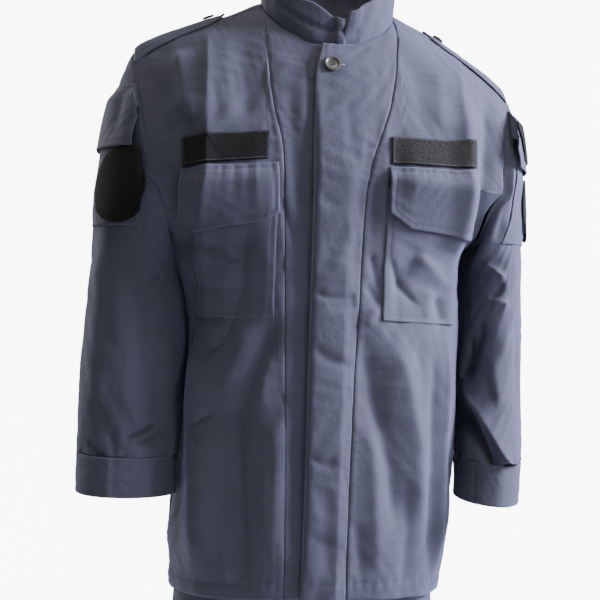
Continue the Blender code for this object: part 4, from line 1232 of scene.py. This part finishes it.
def on_front(name, corners, size, lift, look, thick, seed, rows_of, edge=None, grain=0.0, puckered=()):
    """A piece on the chest, laid over the folds of the cloth below it.

    The corners are in millimetres: bottom left, bottom right, top right, top left.
    """
    u, v = np.meshgrid(ease(size[0]), ease(size[1]))
    flat = lerp_quad(np.array(corners) * MM, u, v)
    if edge:
        flat[..., 1] += edge(u) * (1 - v)
    theta, row = front_theta(flat[..., 0], flat[..., 1])
    plain, out = body(theta, row)
    across, up = arc(plain, 1), arc(plain, 0)
    rim = rim_of(across, up)
    clear = 0.0016 * smooth((np.abs(flat[..., 0]) - 0.135) / 0.02)
    high = fold_height(FRONT_FOLDS, flat[..., 0], flat[..., 1]) + lift(u, v) + thick + clear
    high = high + crumple(across + seed, up, seed) * (0.25 if grain else 1.0)
    if grain:
        high = high + grain * pile(across, up, seed)
    else:
        high = high - ROW_DEEP * bell(rim - EDGE_DIP, SEAM_DIP)
    for side, deep, reach in puckered:
        off = {"top": up[-1:] - up, "bottom": up}[side]
        waves = np.sin(across * TURN / 0.0115 + 2.4 * np.sin(across * 57 + seed))
        waves = waves + 0.5 * np.sin(across * TURN / 0.0071 + seed)
        high = high + deep * waves * np.exp(-np.maximum(off - 0.003, 0) / reach) * smooth(off / 0.003)
    wear = bell(rim, 0.0009)
    made, outer, way = shell(name, plain + out * high[..., None], out, look, thick, wear)
    sew(name, outer, way, rows_of)


def on_sleeve(
    name, left, sleeve, shares, heights, size, lift, look, thick, seed, slant=0.0, rows_of=(), disc=False
):
    """A piece on a sleeve, between two shares round it and two heights; slant widens its top."""
    u, v = np.meshgrid(ease(size[0], 0.2) * 2 - 1, ease(size[1], 0.2) * 2 - 1)
    if disc:
        u, v = u * np.sqrt(1 - v * v / 2), v * np.sqrt(1 - u * u / 2)
    share = shares[0] + (shares[1] - shares[0]) * (u + 1) / 2 + slant * (1 - u) / 2 * (v + 1) / 2
    z = heights[0] + (heights[1] - heights[0]) * (v + 1) / 2
    t = sleeve.t_at(share, z)
    plain, out = sleeve.at(share, t), sleeve.out_of(share, t)
    across, up = arc(plain, 1), arc(plain, 0)
    high = sleeve_high(left, share, z) + lift((u + 1) / 2, (v + 1) / 2) + thick
    if look is COTTON:
        rim = rim_of(across, up)
        high = high + crumple(across, up, seed) * 0.8 - ROW_DEEP * bell(rim - EDGE_DIP, SEAM_DIP)
        wear = bell(rim, 0.0009)
    else:
        high = high + crumple(across, up, seed) * 0.2 + DARK_PILE * pile(across, up, seed)
        wear = np.zeros(u.shape)
    made, outer, way = shell(name, plain + out * high[..., None], out, look, thick, wear)
    sew(name, outer, way, rows_of)


# height of a piece over the cloth below it, across (u) and up (v), each from 0 to 1
def puff(u, v):
    across = np.sin(math.pi * np.clip(u, 0, 1)) ** 0.7
    return 0.0006 + 0.0007 * v + 0.0040 * across * smooth(v * 3) * (1 - 0.45 * v)


def flap_lie(u, v):
    edge = np.minimum(u, 1 - u)
    return 0.0006 + (0.0076 - 0.001 * (0.5 - edge)) * smooth((1 - v) * 3.5)


def bag(u, v):
    return 0.0008 + 0.0026 * np.sin(math.pi * np.clip(u, 0, 1)) ** 0.5 * smooth(v * 4)


def shut(u, v):
    return 0.0008 + 0.0072 * smooth((1 - v) * 4)


def flat_at(high):
    return lambda u, v: high + 0 * u


# rise of a flap's lower edge towards its cut corners
def chamfer_in(u):
    return 0.017 * np.clip((0.24 - u) / 0.24, 0, 1)


def chamfer_both(u):
    return 0.013 * np.clip((0.2 - u) / 0.2, 0, 1) + 0.010 * np.clip((u - 0.80) / 0.2, 0, 1)


POCKET_ROWS = rows_at(EDGE_ROW, "first", "last", "bottom")
FLAP_ROWS = POCKET_ROWS + [("top", EDGE_ROW), ("top", 0.0080)]
TAPE_ROWS = rows_at(SEAM_ROW, "first", "last", "bottom", "top")
LOW_PUCKERS = ("bottom", 0.0002, 0.006)


def chest_pieces():
    for name, corners, steps, seed in (
        ("chest_pocket_left", [(62, -391), (163, -394), (167, -240), (62, -236)], (54, 76), 21.0),
        ("chest_pocket_right", [(-147, -396), (-66, -392), (-66, -236), (-163, -247)], (50, 76), 22.0),
    ):
        on_front(name, corners, steps, puff, COTTON, CLOTH, seed, POCKET_ROWS, puckered=[LOW_PUCKERS])
    left = [(64, -282), (176, -285), (174, -210), (64.5, -210.3)]
    right = [(-175, -293), (-63, -281), (-66.5, -213), (-177.5, -225)]
    for name, corners, seed, edge, pucker in (
        ("chest_flap_left", left, 23.0, chamfer_in, ("top", 0.00032, 0.009)),
        ("chest_flap_right", right, 24.0, chamfer_both, ("top", 0.00045, 0.012)),
    ):
        on_front(
            name, corners, (64, 44), flap_lie, COTTON, BAND_CLOTH, seed, FLAP_ROWS, edge,
            puckered=[pucker, LOW_PUCKERS],
        )
    left = [(67, -206.5), (172, -206.5), (173, -172.5), (67, -174)]
    right = [(-174, -221.5), (-78.5, -209.5), (-78.5, -176), (-177, -188)]
    for name, corners, steps, look, seed, grain in (
        ("name_strip_left", left, 130, PILE_GREY, 25.0, GREY_PILE),
        ("name_strip_right", right, 120, PILE_DARK, 26.0, DARK_PILE),
    ):
        on_front(name, corners, (steps, 44), flat_at(0.0009), look, TAPE, seed, TAPE_ROWS, grain=grain)


def sleeve_pieces(sleeves):
    for left, word in SIDES:
        on_sleeve(
            "sleeve_pocket_" + word, left, sleeves[left], (0.21, 0.60), (-0.290, -0.147), (60, 60),
            bag, COTTON, CLOTH, 31.0 + left, 0.15, POCKET_ROWS,
        )
        on_sleeve(
            "sleeve_flap_" + word, left, sleeves[left], (0.285, 0.605), (-0.197, -0.118), (56, 40),
            shut, COTTON, BAND_CLOTH, 33.0 + left, 0.045, FLAP_ROWS,
        )
    for name, left, shares, heights, steps, high, seed, disc in (
        ("sleeve_patch_right", False, (0.190, 0.435), (-0.287, -0.195), (80, 80), 0.0056, 36.0, True),
        ("sleeve_patch_left", True, (0.34, 0.55), (-0.284, -0.204), (76, 76), 0.0056, 37.0, True),
        ("flap_patch_left", True, (0.35, 0.55), (-0.185, -0.138), (76, 46), 0.0104, 38.0, False),
    ):
        on_sleeve(
            name, left, sleeves[left], shares, heights, steps, flat_at(high), PILE_DARK, PATCH, seed,
            disc=disc,
        )


def circle(bm, x, y, z, radius, steps):
    """Vertices round a point."""
    turns = [2 * math.pi * k / steps for k in range(steps)]
    return [bm.verts.new((x + radius * math.cos(a), y + radius * math.sin(a), z)) for a in turns]


def band(bm, low, high):
    """Faces between two rings of vertices."""
    for a, b, c, d in zip(low, low[1:] + low[:1], high[1:] + high[:1], high):
        bm.faces.new((a, b, c, d))


def button(name, place, out, diameter, thick, turn=0.3):
    """A resin button: a raised rim, a dished middle and four holes."""
    r = diameter / 2
    bm = bmesh.new()
    rings = [circle(bm, 0, 0, thick * level, r * share, 48) for share, level in BUTTON_RIM]
    for low, high in zip(rings, rings[1:]):
        band(bm, low, high)
    bm.faces.new(rings[0][::-1])
    inner = rings[-1]
    edges = [bm.edges.get(pair) for pair in zip(inner, inner[1:] + inner[:1])]
    for h in range(4):
        a = math.pi / 4 + h * math.pi / 2
        x, y = r * HOLE_AT * math.cos(a), r * HOLE_AT * math.sin(a)
        hole = circle(bm, x, y, 0.0, r * HOLE, 10)
        low = circle(bm, x, y, -thick * HOLE_DEEP, r * HOLE, 10)
        edges += [bm.edges.new(pair) for pair in zip(hole, hole[1:] + hole[:1])]
        band(bm, hole, low)
        bm.faces.new(low)
    bmesh.ops.triangle_fill(bm, use_beauty=True, edges=edges)
    bmesh.ops.recalc_face_normals(bm, faces=bm.faces[:])
    way = Vector((0, 0, 1)).rotation_difference(Vector(out)).to_matrix().to_4x4()
    spin = Matrix.Rotation(turn, 4, "Z")
    bmesh.ops.transform(bm, matrix=Matrix.Translation(Vector(place)) @ way @ spin, verts=bm.verts)
    mesh = bpy.data.meshes.new(name + "_disc")
    bm.to_mesh(mesh)
    bm.free()
    add_piece(name + "_disc", mesh, HORN, [name])
    mesh.set_sharp_from_angle(angle=math.radians(40))
    return way @ spin


def front_button():
    theta, row = front_theta(np.array([FRONT_BUTTON[0]]), np.array([FRONT_BUTTON[1]]))
    place, out = body(theta, row)
    high = fly_lift(theta, row) + 0.0028
    place = (place + out * high[:, None])[0]
    way = button("button_front", place, out[0], 0.020, 0.0032)
    # the worked buttonhole that shows beside it: bars of pale thread over a slit
    bm = bmesh.new()
    across = way.to_3x3() @ Vector((math.cos(-0.3), math.sin(-0.3), 0))
    out = Vector(out[0])
    turn = Matrix((across, out.cross(across), out)).transposed().to_4x4()
    for k in range(12):
        at = Vector(place) + across * (0.0098 + 0.00045 * k) - out * 0.0019
        size = Matrix.Diagonal((0.00034, 0.0022 if k > 8 else 0.0013, 0.0005, 1))
        bmesh.ops.create_cube(bm, size=1.0, matrix=Matrix.Translation(at) @ turn @ size)
    mesh = bpy.data.meshes.new("buttonhole")
    bm.to_mesh(mesh)
    bm.free()
    add_piece("buttonhole", mesh, PALE_THREAD)


def trouser_cell(back, w, z):
    """Points of a left trouser panel: w runs from the middle or inner seam to the outer seam."""
    half, front, rear = table_at(HIPS, z)
    cx, cy, rx, ry = table_at(LEG, z)
    n = HIP_ROUND
    a = w * math.pi / 2
    deep = rear if back else front
    hip_x = half * power(np.sin(a), 2 / n)
    hip_y = deep * power(np.maximum(np.cos(a), 0), 2 / n)
    b = w * math.pi
    blend = smooth((FORK_TOP_Z - z) / (FORK_TOP_Z - FORK_Z))
    x = hip_x * (1 - blend) + (cx - rx * np.cos(b)) * blend
    y = hip_y * (1 - blend) + ry * np.sin(b) * blend
    way = 1 if back else -1
    return np.stack([np.maximum(x, 0.0), way * y + cy * blend, z + 0 * w], -1)


def trouser_panel(back, side):
    """Outer points of a panel, as on the wearer's left, and the way out."""
    leg, hip, across_steps = LEG_STEPS
    z = np.concatenate([np.linspace(ANKLE_Z, FORK_Z, leg), np.linspace(FORK_Z, WAIST_Z - BAND_H, hip)[1:]])
    w, level = np.meshgrid(np.linspace(0, 1, across_steps), z)
    plain = trouser_cell(back, w, level)
    e = SMALL_STEP
    low, high = np.maximum(0, w - e), np.minimum(1, w + e)
    run = trouser_cell(back, high, level) - trouser_cell(back, low, level)
    rise = trouser_cell(back, w, level + e) - trouser_cell(back, w, level - e)
    out = unit(np.cross(run, rise))
    middle = np.stack([np.where(level > FORK_TOP_Z, 0.0, 0.06), 0 * w, level], -1)
    out = np.where(((plain - middle) * out).sum(-1, keepdims=True) < 0, -out, out)
    across, up = arc(plain, 1), arc(plain, 0)
    rows = LEG_BACK_FOLDS if back else LEG_FRONT_FOLDS
    hidden = smooth((-0.715 - level) / 0.03)
    ends = smooth(np.minimum(w, 1 - w) / 0.08)
    high = fold_height(rows, w * LEG_WIDE, level, LEG_WIDE * PERCENT)
    high = high * ends * (0.25 + 0.75 * hidden)
    high = high + crumple(across, up, 41.0 + side + 2 * back, 1.5) * ends * hidden
    high = high + seam(across, up) + seam(across[:, -1:] - across, up) - SEAT_SUNK
    high = high - SEAT_SUNK * bell(up - LEG_HEM_ROW, 0.0015)
    points = plain + out * high[..., None]
    points[..., 0] += 0.0006
    # the middle seam stays clear of the other side's
    points[:, 0, 0] = np.maximum(points[:, 0, 0], MIDDLE_GAP)
    points[:, 0, 0] = np.where(z > FORK_Z, MIDDLE_GAP, points[:, 0, 0])
    return points, out


def trousers():
    for side, word in ((1, "left"), (-1, "right")):
        for back, where in ((False, "front"), (True, "back")):
            points, out = trouser_panel(back, side)
            mirror = np.array([side, 1, 1])
            name = f"trouser_{where}_{word}"
            made, outer, way = shell(name, points * mirror, out * mirror, COTTON, CLOTH)
            sew(name, outer, way, [("last", EDGE_ROW), ("last", 0.0080), ("bottom", LEG_HEM_ROW)])
    a = 2 * math.pi * np.linspace(0, 1, BAND_STEPS[0]) * 0.9995 - math.pi / 2 + 0.0008
    level = np.linspace(WAIST_Z - BAND_H, WAIST_Z, BAND_STEPS[1])[:, None]
    a, level = np.broadcast_arrays(a, level)
    half, front, rear = table_at(HIPS, level)
    c, s = np.cos(a), np.sin(a)
    deep = np.where(s > 0, rear, front)
    points = np.stack([half * power(c, 2 / HIP_ROUND), deep * power(s, 2 / HIP_ROUND), level], -1)
    ways = np.stack([c, s, 0 * c], -1)
    made, outer, way = shell("waistband", points, ways, COTTON, BAND_CLOTH)
    sew("waistband", outer, way, rows_at(SEAM_ROW, "bottom", "top"))


def staged(name, look, fill):
    """A thing of the studio, which isn't part of the uniform."""
    mesh = bpy.data.meshes.new(name)
    bm = bmesh.new()
    fill(bm)
    bm.to_mesh(mesh)
    bm.free()
    mesh.materials.append(look)
    obj = bpy.data.objects.new(name, mesh)
    bpy.context.scene.collection.objects.link(obj)
    return obj


def paper(name, specular, scale, dark, light):
    made, tree, shader = new_material(name, 0.9, specular=specular)
    place = tree.nodes.new("ShaderNodeTexCoord").outputs["Object"]
    shade = ramp(tree, noise(tree, place, scale, 2.0), 0.3, 0.7, [dark] * 3, [light] * 3)
    tree.links.new(shade, shader.inputs["Base Color"])
    return made, tree, shader, shade


def floor_and_backdrop():
    def disc(bm):
        bmesh.ops.create_circle(bm, cap_ends=True, segments=96, radius=FLOOR_RADIUS)
        bmesh.ops.translate(bm, vec=(0, 0, FLOOR_Z), verts=bm.verts)

    def dome(bm):
        bmesh.ops.create_uvsphere(bm, u_segments=48, v_segments=24, radius=BACKDROP_RADIUS)

    staged("floor", paper("paper", 0.1, 1.5, 0.86, 0.90)[0], disc)
    look, tree, shader, shade = paper("backdrop_paper", 0.0, 0.4, 0.97, 1.0)
    tree.links.new(shade, shader.inputs["Emission Color"])
    shader.inputs["Emission Strength"].default_value = BACKDROP_GLOW
    behind = staged("backdrop", look, dome)
    behind.visible_diffuse = False
    behind.visible_glossy = False
    behind.visible_shadow = False


def hang(name, kind, power_of, colour, aim, way, far):
    """A lamp at a distance from what it points at."""
    data = bpy.data.lights.new(name, kind)
    data.energy = power_of
    data.color = colour
    lamp = bpy.data.objects.new(name, data)
    bpy.context.scene.collection.objects.link(lamp)
    lamp.location = Vector(aim) + way * far
    lamp.rotation_mode = "QUATERNION"
    lamp.rotation_quaternion = way.to_track_quat("Z", "Y")
    return data


def lights():
    world = bpy.data.worlds.new("studio")
    world.use_nodes = True
    bpy.context.scene.world = world
    world.node_tree.nodes["Background"].inputs["Color"].default_value = (*WORLD_COLOUR, 1)
    world.node_tree.nodes["Background"].inputs["Strength"].default_value = WORLD
    for name, azimuth, elevation, far, size, power_of, colour in LIGHTS:
        a, e = math.radians(azimuth), math.radians(elevation)
        way = Vector((math.sin(a) * math.cos(e), -math.cos(a) * math.cos(e), math.sin(e)))
        data = hang(name, "AREA", power_of, colour, (0, 0, -0.40), way, far)
        data.shape = "DISK"
        data.size = size
    a = math.radians(FRONT_AZIMUTH)
    way = Vector((math.sin(a), -math.cos(a), FRONT_RISE))
    data = hang("front", "SPOT", FRONT_POWER, FRONT_COLOUR, FRONT_AIM, way, FRONT_FAR)
    data.spot_size = math.radians(FRONT_CONE)
    data.spot_blend = 1.0
    data.shadow_soft_size = FRONT_SIZE


def camera():
    turn, roll = math.radians(CAMERA_TURN), math.radians(CAMERA_ROLL)
    ahead = Vector((-math.sin(turn), math.cos(turn), 0))
    right = Vector((math.cos(turn), math.sin(turn), 0))
    up = Vector((0, 0, 1))
    place = ahead * -CAMERA_FAR + Vector((0, 0, CAMERA_Z))
    tilted_right = right * math.cos(roll) + up * math.sin(roll)
    tilted_up = up * math.cos(roll) - right * math.sin(roll)
    data = bpy.data.cameras.new("camera")
    data.sensor_fit = "HORIZONTAL"
    data.sensor_width = 36
    data.lens = 36 * CAMERA_FOCUS / PHOTO_WIDE
    data.shift_x = CAMERA_SHIFT / PHOTO_WIDE
    made = bpy.data.objects.new("camera", data)
    bpy.context.scene.collection.objects.link(made)
    turned = Matrix((tilted_right, tilted_up, -ahead)).transposed().to_4x4()
    made.matrix_world = Matrix.Translation(place) @ turned
    bpy.context.scene.camera = made


def make():
    sleeves = {left: Sleeve(left) for left in (True, False)}
    coat_panels()
    sleeves_and_cuffs(sleeves)
    collar_piece()
    for left, word in SIDES:
        outer, way = shoulder_strap(left, word)
        middle = outer[np.abs(outer[:, 12, 0]).argsort()[8], 12]
        place = middle + way[20, 12] * 0.0018
        button("button_epaulette_" + word, place, way[20, 12], 0.015, 0.0026, 0.5)
    chest_pieces()
    sleeve_pieces(sleeves)
    front_button()
    trousers()
    floor_and_backdrop()
    lights()
    camera()


make()
